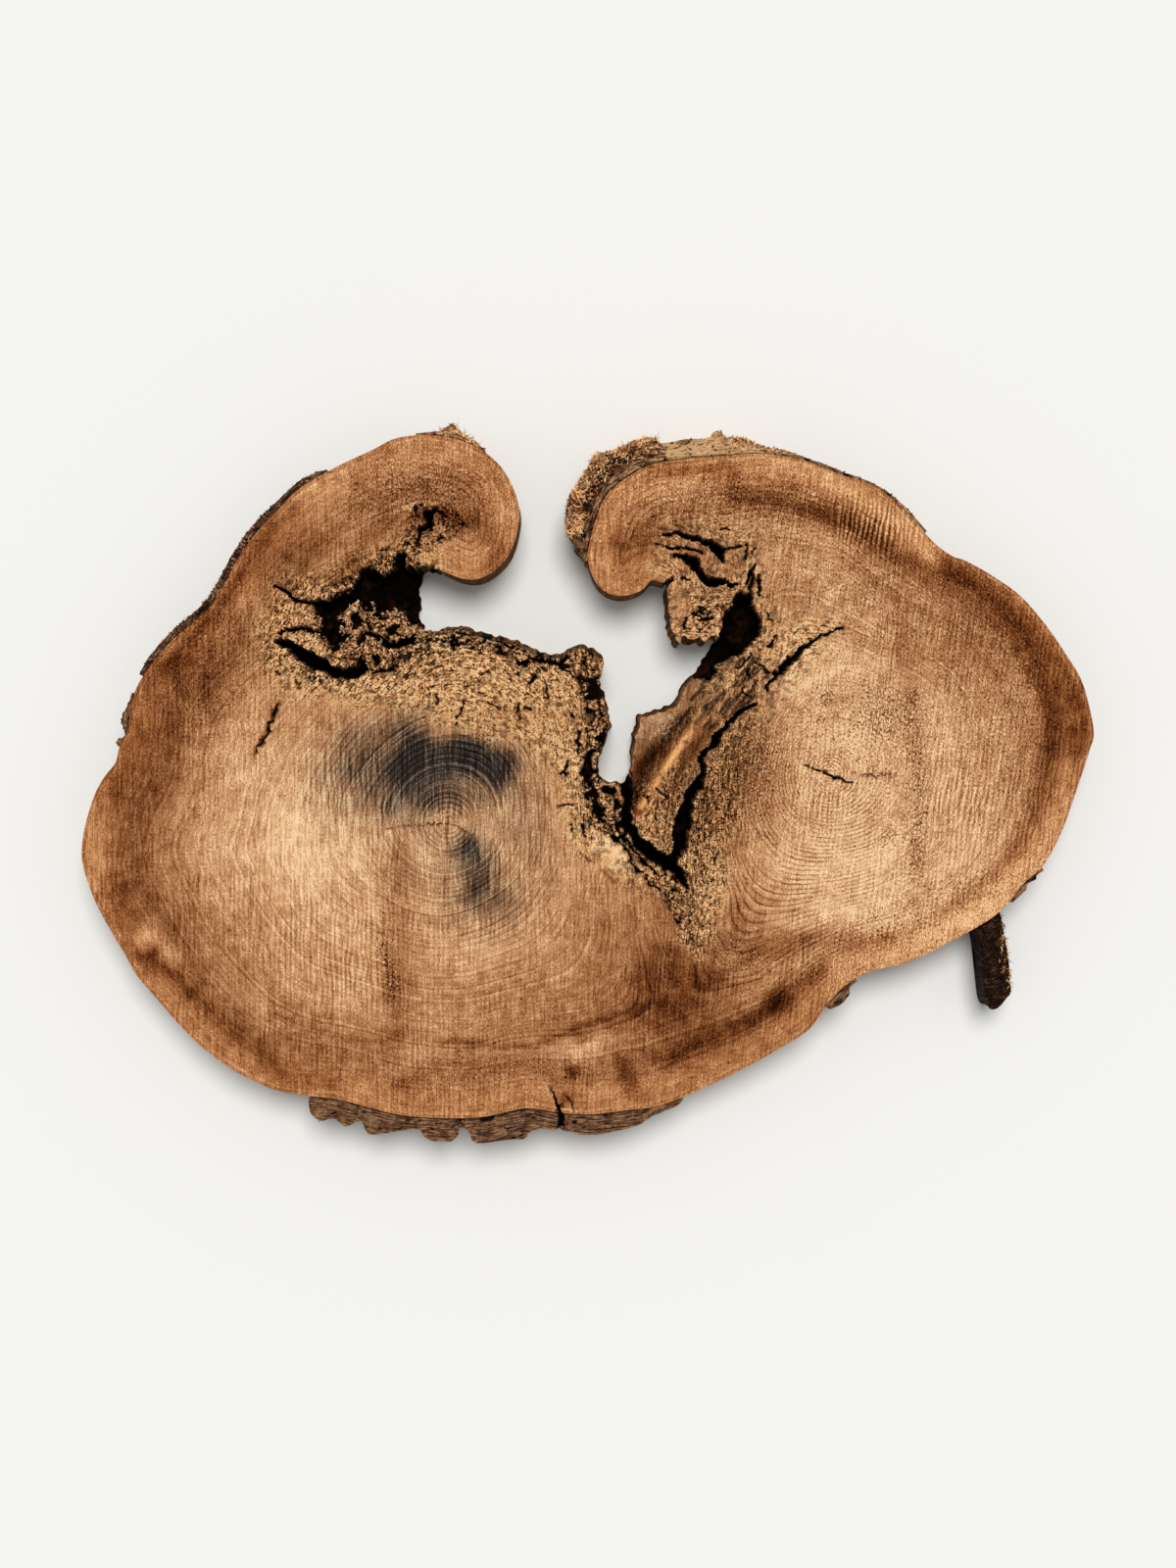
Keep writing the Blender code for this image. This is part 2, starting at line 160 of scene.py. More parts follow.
def inside(places: Array, polygon: Array) -> Array:
    """Tell which places lie inside a closed polygon.

    Args:
        places: Points in plan.
        polygon: Corner points, one row each.

    Returns:
        True for each place inside.
    """
    odd = np.zeros(len(places), bool)
    x, y = places[:, 0], places[:, 1]
    for (ax, ay), (bx, by) in zip(polygon, np.roll(polygon, -1, axis=0)):
        if ay == by:
            continue
        crosses = ((ay > y) != (by > y)) & (x < (bx - ax) * (y - ay) / (by - ay) + ax)
        odd ^= crosses
    return odd


def patch_mask(places: Array, polygon: Path, feather: float) -> Array:
    """Weigh places by how far inside a polygon they lie.

    Args:
        places: Points in plan.
        polygon: Corner points.
        feather: Width in millimetres over which the patch fades, half of it outside.

    Returns:
        A weight from 0 to 1 for each place.
    """
    corners = np.array(polygon, float)
    near = near_to(places, corners, feather)
    weight = np.zeros(len(places))
    if near.any():
        chosen = places[near]
        distance, _ = path_distance(chosen, np.vstack([corners, corners[:1]]))
        signed = np.where(inside(chosen, corners), distance, -distance)
        weight[near] = smooth(signed / feather + 0.5)
    return weight


@dataclass(frozen=True)
class LatticeNoise:
    """Smooth noise on a hashed lattice, which is the same on every run."""

    seed: int

    def hashed(self, cells: Array, salt: int = 0) -> Array:
        """Turn whole-numbered cells into values.

        Args:
            cells: Cells with two or three coordinates, one row each.
            salt: Number that gives another set of values.

        Returns:
            A value from -1 to 1 for each cell.
        """
        start = (self.seed * SEED_FACTOR + salt * SALT_FACTOR) & WORD
        mixed = np.full(len(cells), start, np.uint64)
        for column, factor in zip(cells.T.astype(np.int64), AXIS_FACTORS):
            mixed ^= (column * factor).astype(np.uint64) & np.uint64(WORD)
        for shift, factor in HASH_ROUNDS:
            mixed = ((mixed ^ (mixed >> np.uint64(shift))) * np.uint64(factor)) & np.uint64(WORD)
        return (mixed ^ (mixed >> np.uint64(16))).astype(float) / 2.0**31 - 1.0

    def at(self, places: Array, size: float | tuple[float, ...]) -> Array:
        """Sample the noise.

        Args:
            places: Points with two or three coordinates, one row each.
            size: Width of the noise's lumps, one for all axes or one for each.

        Returns:
            A value from -1 to 1 for each place.
        """
        scaled = places / np.asarray(size, float)
        base = np.floor(scaled)
        share = scaled - base
        share = share * share * (3.0 - 2.0 * share)
        total = np.zeros(len(places))
        axes = places.shape[1]
        for corner in range(2**axes):
            bits = np.array([(corner >> axis) & 1 for axis in range(axes)])
            weight = np.where(bits, share, 1.0 - share).prod(1)
            total += weight * self.hashed(base + bits)
        return total

    def layered(self, places: Array, size: float | Place, layers: int = 3) -> Array:
        """Add finer and weaker layers of the noise.

        Args:
            places: Points with two or three coordinates, one row each.
            size: Width of the coarsest layer's lumps.
            layers: How many layers there are.

        Returns:
            A value from -1 to 1 for each place.
        """
        weights = [1.0 / FADE**layer for layer in range(layers)]
        total = sum(
            LatticeNoise(self.seed + layer).at(places, np.asarray(size) / FINER**layer)
            / FADE**layer for layer in range(layers)
        )
        return total / sum(weights)

    def shifts(self, places: Array, size: float) -> Array:
        """Sample a sideways shift, from -1 to 1 on both axes, for each place in plan."""
        other = LatticeNoise(self.seed + 50)
        return np.column_stack([self.at(places, size), other.at(places, size)])

    def lumps(self, places: Array, size: tuple[float, float]) -> tuple[Array, ...]:
        """Divide the plane into lumps round scattered centres.

        Args:
            places: Points in plan.
            size: Mean width and height of the lumps.

        Returns:
            For each place: its closeness to the seam between two lumps, 0 on the seam,
            and a value from -1 to 1 that is the same all over its lump.
        """
        scaled = places / np.asarray(size)
        base = np.floor(scaled)
        first = np.full(len(places), np.inf)
        second = np.full(len(places), np.inf)
        tint = np.zeros(len(places))
        for i in (-1, 0, 1):
            for j in (-1, 0, 1):
                cell = base + (i, j)
                centre = cell + 0.5
                centre += 0.42 * np.column_stack([self.hashed(cell, 1), self.hashed(cell, 2)])
                distance = np.hypot(*(scaled - centre).T)
                closer = distance < first
                second = np.where(closer, first, np.minimum(second, distance))
                tint = np.where(closer, self.hashed(cell, 3), tint)
                first = np.where(closer, distance, first)
        return second - first, tint

    def uneven(self, places: Array, size: float, strength: float) -> Array:
        """Sample factors that waver round 1 by up to the strength."""
        return 1.0 + strength * self.layered(places, size)


@dataclass(frozen=True)
class EdgeStretch:
    """One stretch of the slice's edge, clockwise, with how its foot on the back is shifted."""

    points: Path
    rotten: bool = False
    foot_shift: Place = (0.0, 0.0)


LEFT_CURL = EdgeStretch(pairs(
    -220, 345, -195, 357, -160, 360, -120, 351, -90, 329, -73, 297, -71, 269, -82, 236, -105, 216,
    -125, 213, -145, 220,
))
CAVITY_END = EdgeStretch(pairs(
    -155, 225, -165, 225, -175, 224, -178, 214, -181, 204, -177, 192, -180, 182, -175, 172,
    -171, 163,
), True, (3, 0))
LOWER_RIM = EdgeStretch(pairs(
    -160, 162, -140, 161, -120, 157, -100, 152, -80, 147, -67, 142, -55, 136, -40, 132, -25, 136,
    -10, 142, 0, 139, 12, 134, 16, 126,
), True, (0, 9))
V_LEFT = EdgeStretch(pairs(
    12, 116, 12, 104, 15, 94, 18, 82, 20, 64, 18, 53, 10, 34, 9, 11, 20, 6, 36, 5,
), True, (3, 2))
RIGHT_WALL = EdgeStretch(pairs(
    44, 19, 47, 34, 50, 54, 55, 69, 62, 74, 70, 76, 88, 84, 95, 89, 100, 99, 105, 107, 112, 114,
    120, 122, 122, 129, 128, 139, 130, 149,
), True, (-4, 4))
HANGING_ROT = EdgeStretch(pairs(
    130, 154, 120, 151, 115, 154, 105, 151, 97, 154, 93, 149, 88, 155, 85, 164, 83, 174, 82, 189,
    81, 204, 83, 213,
), True, (-2, -2))
RIGHT_CURL = EdgeStretch(pairs(
    75, 210, 65, 212, 55, 202, 37, 196, 20, 199, 8, 210, 1, 227, 0, 242, 9, 277, 20, 300, 40, 317,
    65, 330, 100, 336, 140, 339, 180, 341, 220, 334, 260, 319,
))
RIGHT_EDGE = EdgeStretch(pairs(
    280, 313, 300, 303, 322, 284, 343, 261, 358, 246, 373, 236, 385, 232, 410, 218, 440, 197,
    465, 169, 488, 136, 505, 106, 516, 59, 512, 39, 504, 14, 488, -33, 477, -58, 463, -81,
    445, -97, 430, -116, 410, -134, 370, -157, 345, -170, 320, -180, 300, -184, 280, -191,
    260, -204, 242, -223, 234, -236, 220, -251, 190, -269,
))
LOWER_EDGE = EdgeStretch(pairs(
    165, -283, 135, -298, 100, -314, 70, -325, 40, -329, 5, -333, -25, -332, -50, -328, -65, -327,
    -80, -330, -110, -336, -150, -337, -190, -334, -220, -327, -255, -318, -287, -314, -320, -308,
    -340, -299, -364, -287, -387, -270,
))
LEFT_EDGE = EdgeStretch(pairs(
    -400, -259, -422, -236, -440, -215, -460, -192, -473, -169, -485, -149, -500, -122, -509, -100,
    -516, -76, -516, -56, -512, -34, -503, -6, -493, 12, -482, 26, -478, 42, -470, 59, -467, 79,
    -462, 99, -454, 114, -440, 133, -422, 153, -405, 167, -385, 186, -372, 207, -357, 234,
    -338, 261, -317, 283, -295, 305, -260, 326,
))
STRETCHES = (
    LEFT_CURL, CAVITY_END, LOWER_RIM, V_LEFT, RIGHT_WALL, HANGING_ROT, RIGHT_CURL, RIGHT_EDGE,
    LOWER_EDGE, LEFT_EDGE,
)


def spline(points: Array, step: float) -> Array:
    """Run a smooth curve through points.

    Args:
        points: Places one row each; the first and the last only steer the curve's ends.
        step: Wanted distance between the curve's points.

    Returns:
        The curve's points from the second place up to, not including, the last but one.
    """
    path = []
    for i in range(1, len(points) - 2):
        before, start, end, after = points[i - 1:i + 3]
        count = max(1, round(float(np.hypot(*(end - start))) / step))
        t = (np.arange(count) / count)[:, None]
        path.append(0.5 * (
            2.0 * start
            + (end - before) * t
            + (2.0 * before - 5.0 * start + 4.0 * end - after) * t * t
            + (3.0 * start - before - 3.0 * end + after) * t * t * t
        ))
    return np.vstack(path)


def open_spline(points: Path | Array, step: float) -> Array:
    """Run a smooth curve from the first of the points to the last.

    Args:
        points: Places that the curve goes through.
        step: Wanted distance between the curve's points.

    Returns:
        The curve's points, with both ends.
    """
    knots = np.array(points, float)
    knots = np.vstack([2.0 * knots[0] - knots[1], knots, 2.0 * knots[-1] - knots[-2]])
    return np.vstack([spline(knots, step), knots[-2:-1]])


@dataclass
class SliceOutline:
    """The edge of the sawn face and of the back, as two matching clockwise loops.

    Its offset, in millimetres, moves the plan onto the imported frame.
    """

    edge_step: float = 3.0
    rot_step: float = 1.8
    roughness: float = 3.2
    foot_easing: float = 18.0
    front: Array = field(init=False)
    back: Array = field(init=False)
    rotten: Array = field(init=False)
    stretch: Array = field(init=False)
    offset: Array = field(init=False)

    def __post_init__(self) -> None:
        """Work out both loops from the stretches, and the offset from the slice's solid."""
        steering = np.array([p for part in STRETCHES for p in part.points], float)
        front, back, rotten, stretch = [], [], [], []
        start = 0
        for number, part in enumerate(STRETCHES):
            picked = (np.arange(len(part.points) + 3) + start - 1) % len(steering)
            step = self.rot_step if part.rotten else self.edge_step
            path = spline(steering[picked], step)
            if part.rotten:
                path = self.roughened(path)
            index = np.arange(len(path))
            ends = np.minimum(index, len(path) - index) * step / self.foot_easing
            front.append(path)
            back.append(path + np.minimum(1.0, ends)[:, None] * np.array(part.foot_shift))
            rotten.append(np.full(len(path), part.rotten))
            stretch.append(np.full(len(path), number))
            start += len(part.points)
        self.front, self.back = np.vstack(front), np.vstack(back)
        self.rotten, self.stretch = np.concatenate(rotten), np.concatenate(stretch)
        low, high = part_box("wood_slab")
        middle = np.array([low.x + high.x, low.y + high.y]) / 2.0 / MM
        both = np.vstack([self.front, self.back])
        self.offset = middle - (both.min(0) + both.max(0)) / 2.0

    def roughened(self, path: Array) -> Array:
        """Push a rotten stretch in and out a little, as its solid is."""
        swing = np.array([noise.noise(Vector((x / 6.0, y / 6.0, 3.7))) for x, y in path])
        return path + sideways(np.gradient(path, axis=0)) * swing[:, None] * self.roughness

    def part_of(self, *wanted: EdgeStretch) -> Array:
        """Pick the front loop's points that belong to the wanted stretches."""
        numbers = [STRETCHES.index(part) for part in wanted]
        return self.front[np.isin(self.stretch, numbers)]

    def placed(self, points: Array) -> Array:
        """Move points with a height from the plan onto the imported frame, in metres."""
        return (points + [*self.offset, 0.0]) * MM

    def outward(self) -> Array:
        """Work out the outward direction at each point of the front loop."""
        return sideways(np.roll(self.front, -2, axis=0) - np.roll(self.front, 2, axis=0))


@dataclass(frozen=True)
class Hollow:
    """A pocket that rot has left in the sawn face: its rim with the depth at each point."""

    rim: Trace
    wall: float = 5.0

    def depth_at(self, places: Array) -> Array:
        """Work out how deep the pocket is.

        Args:
            places: Points in plan.

        Returns:
            How far each place lies below the sawn face.
        """
        rim = np.array(self.rim, float)
        corners = rim[:, :2]
        near = near_to(places, corners, 0.0)
        depth = np.zeros(len(places))
        if near.any():
            chosen = places[near]
            spread = ((chosen[:, None, :] - corners[None]) ** 2).sum(2) + 9.0
            weights = spread**-1.5
            floor = (weights * rim[None, :, 2]).sum(1) / weights.sum(1)
            distance, _ = path_distance(chosen, np.vstack([corners, corners[:1]]))
            drop = floor * smooth(distance / self.wall)
            depth[near] = np.where(inside(chosen, corners), drop, 0.0)
        return depth


@dataclass(frozen=True)
class Crack:
    """A crack or slot in the sawn face: its depth, and its middle line with widths."""

    GUIDE_SHARES = (-1.05, -0.45, 0.45, 1.05)
    NARROW = 1.3

    depth: float
    line: Trace

    def depth_at(self, places: Array) -> Array:
        """Work out how deep the crack is.

        Args:
            places: Points in plan.

        Returns:
            How far each place lies below the sawn face.
        """
        line = np.array(self.line, float)
        near = near_to(places, line[:, :2], line[:, 2].max() / 2.0 + 1.0)
        depth = np.zeros(len(places))
        if near.any():
            distance, along = path_distance(places[near], line[:, :2])
            half = np.interp(along, np.arange(len(line)), line[:, 2]) / 2.0
            share = smooth((half - distance) / (0.5 * half + 0.1))
            depth[near] = self.depth * share * np.minimum(1.0, half / 1.2)
        return depth

    def guides(self, step: float = 1.7) -> Array:
        """Place the points that keep the crack's rims and its floor sharp in a mesh.

        Args:
            step: Wanted distance between the points along the crack.

        Returns:
            The points in plan, one row each.
        """
        line = np.array(self.line, float)
        rows = []
        for (ax, ay, aw), (bx, by, bw) in zip(line[:-1], line[1:]):
            length = float(np.hypot(bx - ax, by - ay))
            side = np.array([ay - by, bx - ax]) / max(length, TINY)
            count = max(1, round(length / step))
            for t in np.arange(count) / count:
                middle = np.array([ax + (bx - ax) * t, ay + (by - ay) * t])
                half = (aw + (bw - aw) * t) / 2.0
                rows += [middle + side * half * share for share in self.GUIDE_SHARES]
                if half < self.NARROW:
                    rows[-3:-1] = [middle]
        return np.array(rows)


def cracks(*rows: tuple[float, ...]) -> tuple[Crack, ...]:
    """Make cracks from rows of a depth and then x, y and width for each point."""
    return tuple(Crack(depth, triples(*line)) for depth, *line in rows)


LEFT_CAVITY = Hollow(triples(
    -160, 227, 66, -175, 226, 66, -184, 227, 60, -187, 240, 45, -196, 240, 45, -200, 224, 50,
    -208, 218, 50, -222, 229, 45, -234, 221, 40, -242, 200, 36, -249, 193, 34, -243, 188, 36,
    -233, 190, 40, -230, 181, 44, -222, 187, 48, -215, 179, 50, -205, 176, 54, -198, 181, 56,
    -187, 182, 60, -190, 172, 60, -180, 165, 64, -160, 172, 66, -150, 190, 66, -150, 212, 66,
))
RIGHT_CAVITY = Hollow(triples(
    144, 187, 50, 148, 196, 46, 157, 200, 44, 167, 202, 40, 168, 186, 48, 176, 176, 44,
    179, 164, 42, 176, 152, 44, 168, 149, 48, 162, 140, 50, 150, 134, 54, 138, 128, 58,
    125, 112, 60, 106, 112, 66, 112, 128, 66, 118, 145, 66, 133, 156, 64, 138, 174, 58,
))
VOID = Hollow(triples(
    -284, 188, 30, -272, 191, 34, -258, 195, 38, -244, 198, 40, -238, 191, 40, -243, 186, 42,
    -250, 182, 42, -256, 174, 42, -258, 166, 42, -252, 160, 42, -243, 155, 40, -248, 150, 38,
    -257, 146, 38, -264, 143, 36, -268, 153, 40, -272, 159, 38, -278, 161, 34, -271, 166, 36,
    -275, 174, 36, -281, 180, 32,
), 2.5)
HOLLOWS = (LEFT_CAVITY, RIGHT_CAVITY, VOID)

CRACKS = cracks(
    (58, -318, 150, 6, -303, 143, 12, -285, 131, 15, -265, 121, 14, -248, 115, 10, -234, 119, 10,
     -222, 128, 3),
    (34, -320, 206, 2, -300, 194, 4, -284, 189, 5, -272, 191, 3),
    (30, -316, 158, 3, -300, 163, 5, -284, 161, 5, -274, 157, 3),
    (35, -236, 148, 6, -228, 158, 7, -214, 152, 8, -202, 144, 8, -190, 148, 11, -178, 152, 7),
    (35, -176, 251, 3, -172, 261, 6, -163, 269, 9, -164, 280, 8, -155, 283, 4, -145, 277, 2),
    (64, 38, 8, 14, 40, -2, 12, 41, -11, 9, 39, -26, 12, 41, -38, 12, 46, -49, 12, 55, -59, 15,
     68, -69, 17, 80, -77, 13, 92, -84, 8, 99, -96, 7, 102, -103, 2),
    (56, 172, 86, 3, 161, 82, 4, 152, 74, 6, 142, 64, 7, 135, 57, 7, 130, 49, 9, 125, 42, 6,
     117, 34, 7, 118, 24, 6, 117, 14, 7, 112, 4, 12, 106, -6, 14, 103, -16, 14, 97, -26, 18,
     96, -36, 20, 95, -48, 17, 93, -61, 13, 88, -71, 13, 80, -78, 14),
    (34, 18, -2, 11, 25, -4, 12),
    (14, 10, -24, 2, 20, -38, 2.4, 32, -54, 2.6, 50, -82, 2.6, 66, -99, 2),
    (20, 24, -30, 3, 34, -46, 3.4, 44, -62, 3.4, 56, -76, 4, 70, -88, 3),
    (36, 78, 259, 2, 90, 260, 4, 105, 256, 5, 116, 252, 8, 126, 250, 6, 135, 242, 13, 137, 231, 4),
    (20, 78, 246, 2, 92, 245, 3, 107, 242, 3, 118, 239, 2),
    (45, 89, 237, 3, 100, 234, 5, 108, 231, 10, 112, 223, 11, 117, 215, 9, 126, 211, 11,
     136, 211, 7, 146, 209, 4, 153, 208, 2),
    (25, 170, 229, 2, 164, 220, 4, 161, 211, 3), (25, 174, 214, 2, 175, 206, 3, 175, 198, 2),
    (30, 257, 164, 2, 235, 152, 3, 220, 144, 6, 208, 129, 8, 195, 119, 6, 183, 101, 2),
    (12, 220, 23, 1, 245, 14, 3, 270, 6, 1),
)
# Small slots, worm tracks and checks that only show close up
SLOTS = cracks(
    (14, -10, 57, 3, -10, 36, 3), (12, -2, 63, 2.4, -2, 52, 2.4),
    (12, -20, 27, 2, -24, 20, 3, -25, 13, 2.4), (8, -28, -17, 1.5, -22, -18, 3, -14, -18, 1.5),
    (12, -18, -37, 2.6, -18, -44, 3), (14, -5, -40, 4, -5, -48, 4), (16, 4, 105, 6, 5, 96, 6),
    (8, -44, 101, 3, -40, 91, 2), (12, 62, -97, 3.2, 73, -104, 3.2), (6, -6, -65, 1.5, 6, -77, 2),
    (12, -16, 77, 4, -16, 71, 4), (10, -155, 96, 2.2, -152, 87, 2.6),
    (12, -126, 89, 2.4, -131, 79, 3, -134, 67, 2), (9, -103, 86, 2, -89, 82, 2),
    (12, -72, 86, 2.2, -71, 71, 2.6), (10, -66, 82, 3, -58, 80, 3),
    (14, -60, 106, 3.6, -54, 113, 4), (16, -71, 128, 6, -64, 126, 6),
    (12, -95, 144, 3.4, -88, 138, 3.6), (9, -108, 117, 2.6, -102, 119, 3.4),
    (12, -37, 131, 3, -27, 124, 3.4, -13, 112, 2), (12, -26, 128, 2.4, -18, 117, 3),
    (14, -9, 112, 4.5, -6, 106, 4.5), (16, -139, 152, 7, -137, 140, 5),
    (10, -164, 152, 2.6, -146, 150, 3),
    (12, -132, 157, 2, -116, 156, 4, -98, 152, 4, -84, 147, 3, -72, 140, 2),
    (12, -62, 134, 2, -46, 128, 5, -30, 126, 4, -20, 132, 3), (9, -133, 147, 3, -122, 150, 2.6),
    (9, -297, 115, 1.6, -297, 99, 1.6),
    (12, -317, 85, 1.4, -323, 71, 3.0, -331, 54, 3.0, -339, 37, 1.4), (20, 11, 91, 3, 12, 70, 3),
    (22, 6, 38, 8, 1, 30, 9, -3, 16, 8), (20, -3, 14, 7, 4, -2, 8, 9, -22, 9, 12, -30, 5),
    (14, 137, 265, 2.6, 144, 265, 2), (12, 162, 247, 2.6, 161, 234, 2.6),
    (10, 171, 247, 2, 168, 237, 2.6), (12, 140, 245, 2, 150, 244, 2.8, 161, 247, 2),
    (10, 70, 248, 1.4, 78, 251, 1.6), (14, 89, 238, 2.4, 103, 227, 2.6),
    (20, 168, 215, 5, 166, 203, 5), (18, 174, 215, 3.4, 175, 196, 4),
    (14, 182, 178, 2.6, 187, 168, 2.6), (14, 191, 152, 2, 185, 144, 3),
    (12, 170, 129, 2, 178, 125, 3.4, 187, 116, 2.4), (14, 166, 120, 4.4, 165, 115, 4),
    (12, 171, 109, 3.4, 167, 105, 3.4), (12, 162, 106, 2, 158, 100, 3, 161, 95, 2.4, 165, 93, 1.6),
    (16, 167, 136, 2, 160, 128, 3, 152, 122, 3), (16, 114, 184, 3.4, 117, 181, 3),
    (16, 107, 179, 3, 109, 177, 3), (20, 110, 175, 3, 118, 173, 5, 126, 175, 5),
    (16, 99, 171, 3, 98, 164, 4), (16, 112, 164, 3, 114, 162, 3), (14, 97, 214, 3, 103, 211, 2.4),
    (24, 80, 203, 5, 87, 215, 2.4), (4, 170, -41, 1.2, 178, -49, 2.0, 185, -55, 1.2),
    (8, -205, -40, 0.9, -142, -37, 1.5, -118, -48, 0.9), (6, -142, -37, 1.5, -145, -20, 0.8),
    (6, -142, -37, 1.4, -145, -60, 0.8), (7, 271, 14, 1.2, 290, 13, 1.6, 314, 11, 0.8),
    (14, -37, -308, 1.4, -33, -318, 2.6, -30, -330, 3.6),
    (8, -25, -313, 1.2, -19, -320, 2.4, -16, -328, 1.2), (10, 71, 1, 2, 81, -11, 3),
    (10, 60, -9, 2.6, 62, -12, 2.6), (10, 71, -29, 3, 70, -33, 3),
    (10, -320, 119, 1.8, -314, 113, 2.4), (12, -212, 243, 2, -203, 244, 2.4),
    (10, -132, 271, 2, -122, 266, 1.6), (14, -163, 284, 3, -162, 272, 3),
    (7, -384, -160, 2.6, -384, -161, 2.6),
)
ROT_LEFT = pairs(
    -338, 150, -330, 120, -312, 98, -250, 90, -180, 80, -120, 60, -60, 42, -30, 8, -22, -40,
    -4, -76, 30, -104, 60, -110, 60, -60, 40, 0, 30, 60, 36, 120, 10, 150, -40, 160, -150, 190,
    -150, 250, -190, 262, -260, 226, -310, 214, -330, 190,
)
ROT_RIGHT = pairs(
    72, 268, 120, 272, 176, 258, 186, 206, 200, 166, 262, 176, 226, 118, 200, 86, 176, 44, 160, 4,
    150, -44, 140, -96, 130, -144, 112, -172, 98, -164, 90, -126, 56, -96, 40, -40, 52, 20,
    110, 90, 120, 150, 80, 152, 74, 210, 66, 238,
)


class Weathering(Enum):
    """The ways in which rot has eaten the sawn face."""

    PITTED = "pitted"
    CRUMBLED = "crumbled"
    RIDGED = "ridged"
    HOLED = "holed"


@dataclass(frozen=True)
class RotPatch:
    """A patch of one kind of weathering, with how deep it goes and how far its edge fades."""

    kind: Weathering
    corners: Path
    depth: float
    size: tuple[float, float]
    feather: float = 8.0
    turn: float = 0.0
    sunk: float = 0.3
    # Strength of the painted shade that darkens the patch's pits, gaps and clefts
    black: float = 1.0

    def depth_at(self, places: Array, grain: LatticeNoise) -> tuple[Array, Array]:
        """Work out how the patch has been eaten away.

        Args:
            places: Points in plan.
            grain: The noise that shapes the patch.

        Returns:
            How far each place lies below the sawn face, and how dark its painted shade is, from 0
            to 1.
        """
        weight = patch_mask(places, self.corners, self.feather)
        near = weight > 0.0
        depth, black = np.zeros(len(places)), np.zeros(len(places))
        if not near.any():
            return depth, black
        spots = turned(places[near], self.turn)
        if self.kind is Weathering.CRUMBLED:
            shape = self.crumbled(spots, grain)
        elif self.kind is Weathering.RIDGED:
            fine = LatticeNoise(grain.seed + 5).at(spots, tuple(0.6 * s for s in self.size))
            shape = smooth(0.36 + 0.8 * grain.at(spots, self.size) + 0.5 * fine)
        elif self.kind is Weathering.HOLED:
            shape = smooth(5.0 * (grain.layered(spots, self.size) - 0.42))
        else:
            shape = smooth(1.7 * grain.at(spots, self.size) - 0.15)
        depth[near] = self.depth * shape * weight[near]
        # Painted shade: the most eaten parts of the shape are painted dark, as shade in pits and
        # gaps
        black[near] = smooth((shape * weight[near] - 0.42) / 0.3) * self.black
        return depth, black

    def crumbled(self, spots: Array, grain: LatticeNoise) -> Array:
        """Break the patch up into crumbs with gaps and clefts between them.

        Args:
            spots: Points in plan, turned with the patch, one row each.
            grain: The noise that shapes the patch.

        Returns:
            How far the rot has eaten at each point, from 0 to 1.
        """
        lump = min(self.size)
        bent = spots + 0.5 * lump * grain.shifts(spots, lump * 0.6)
        seam, tint = grain.lumps(bent, self.size)
        fine_seam, _ = LatticeNoise(grain.seed + 9).lumps(
            bent + grain.shifts(spots, 2.5), tuple(0.45 * side for side in self.size))
        gaps = 1.0 - smooth(seam / (0.15 + 0.11 * tint))
        clefts = 0.5 * (1.0 - smooth(fine_seam / 0.16))
        sunk = smooth((self.sunk - 1.0 - tint) * 5.0)
        return np.maximum.reduce([gaps, clefts, sunk, 0.10 + 0.10 * tint])


ROT_PATCHES = (
    RotPatch(Weathering.PITTED, ROT_LEFT, 2.4, (3.4, 3.4), 16.0, black=0.5),
    RotPatch(Weathering.PITTED, ROT_RIGHT, 2.6, (3.6, 3.6), 16.0, black=0.5),
    RotPatch(Weathering.CRUMBLED, pairs(
        -275, 192, -255, 199, -225, 189, -172, 186, -170, 139, -200, 119, -250, 114, -265, 134,
        -280, 164,
    ), 20.0, (9.0, 7.5), 5.0, 0.3, 0.42, 1.0),
    RotPatch(Weathering.CRUMBLED, pairs(
        -10, 114, 18, 114, 22, 59, 15, 14, 40, -26, 72, -80, 44, -70, 0, -36, -8, 14, 0, 64,
    ), 15.0, (9.0, 7.0), 5.0, 0.0, 0.5),
    RotPatch(Weathering.CRUMBLED, pairs(
        -275, 204, -250, 214, -215, 234, -195, 242, -170, 229, -190, 214, -230, 200, -260, 188,
    ), 8.0, (6.0, 5.0), 6.0),
    RotPatch(Weathering.CRUMBLED, pairs(
        -170, 164, -120, 159, -67, 144, -40, 136, 0, 142, 16, 130, 6, 116, -40, 120, -80, 132,
        -125, 143, -170, 148,
    ), 8.0, (7.0, 4.4), 5.0, 0.3, 0.3),
    RotPatch(Weathering.HOLED, pairs(
        104, 214, 135, 208, 150, 190, 128, 158, 92, 152, 98, 180,
    ), 12.0, (7.0, 6.0), 8.0, 0.3),
    RotPatch(Weathering.RIDGED, pairs(
        100, 69, 90, 84, 122, 114, 145, 136, 178, 134, 192, 104, 170, 88, 145, 70, 120, 56,
    ), 7.0, (3.2, 18.0), 10.0, -0.75, black=0.8),
    RotPatch(Weathering.CRUMBLED, pairs(
        66, -88, 104, -84, 112, -130, 96, -150, 74, -110,
    ), 6.0, (6.0, 5.0), 8.0),
    RotPatch(Weathering.CRUMBLED, pairs(
        -178, 290, -150, 292, -120, 272, -140, 252, -176, 236, -190, 250,
    ), 5.0, (6.0, 4.0), 8.0, 0.4),
    RotPatch(Weathering.RIDGED, pairs(
        118, 66, 150, 60, 120, 26, 100, -10, 84, -78, 56, -40, 60, -10, 90, 34,
    ), 4.0, (4.0, 22.0), 8.0, -0.6, black=0.4),
)
TONGUE_CREST = pairs(162, 139, 145, 114, 135, 99, 122, 82, 113, 69, 84, 26, 52, -26)
TONGUE_DROP = 52.0


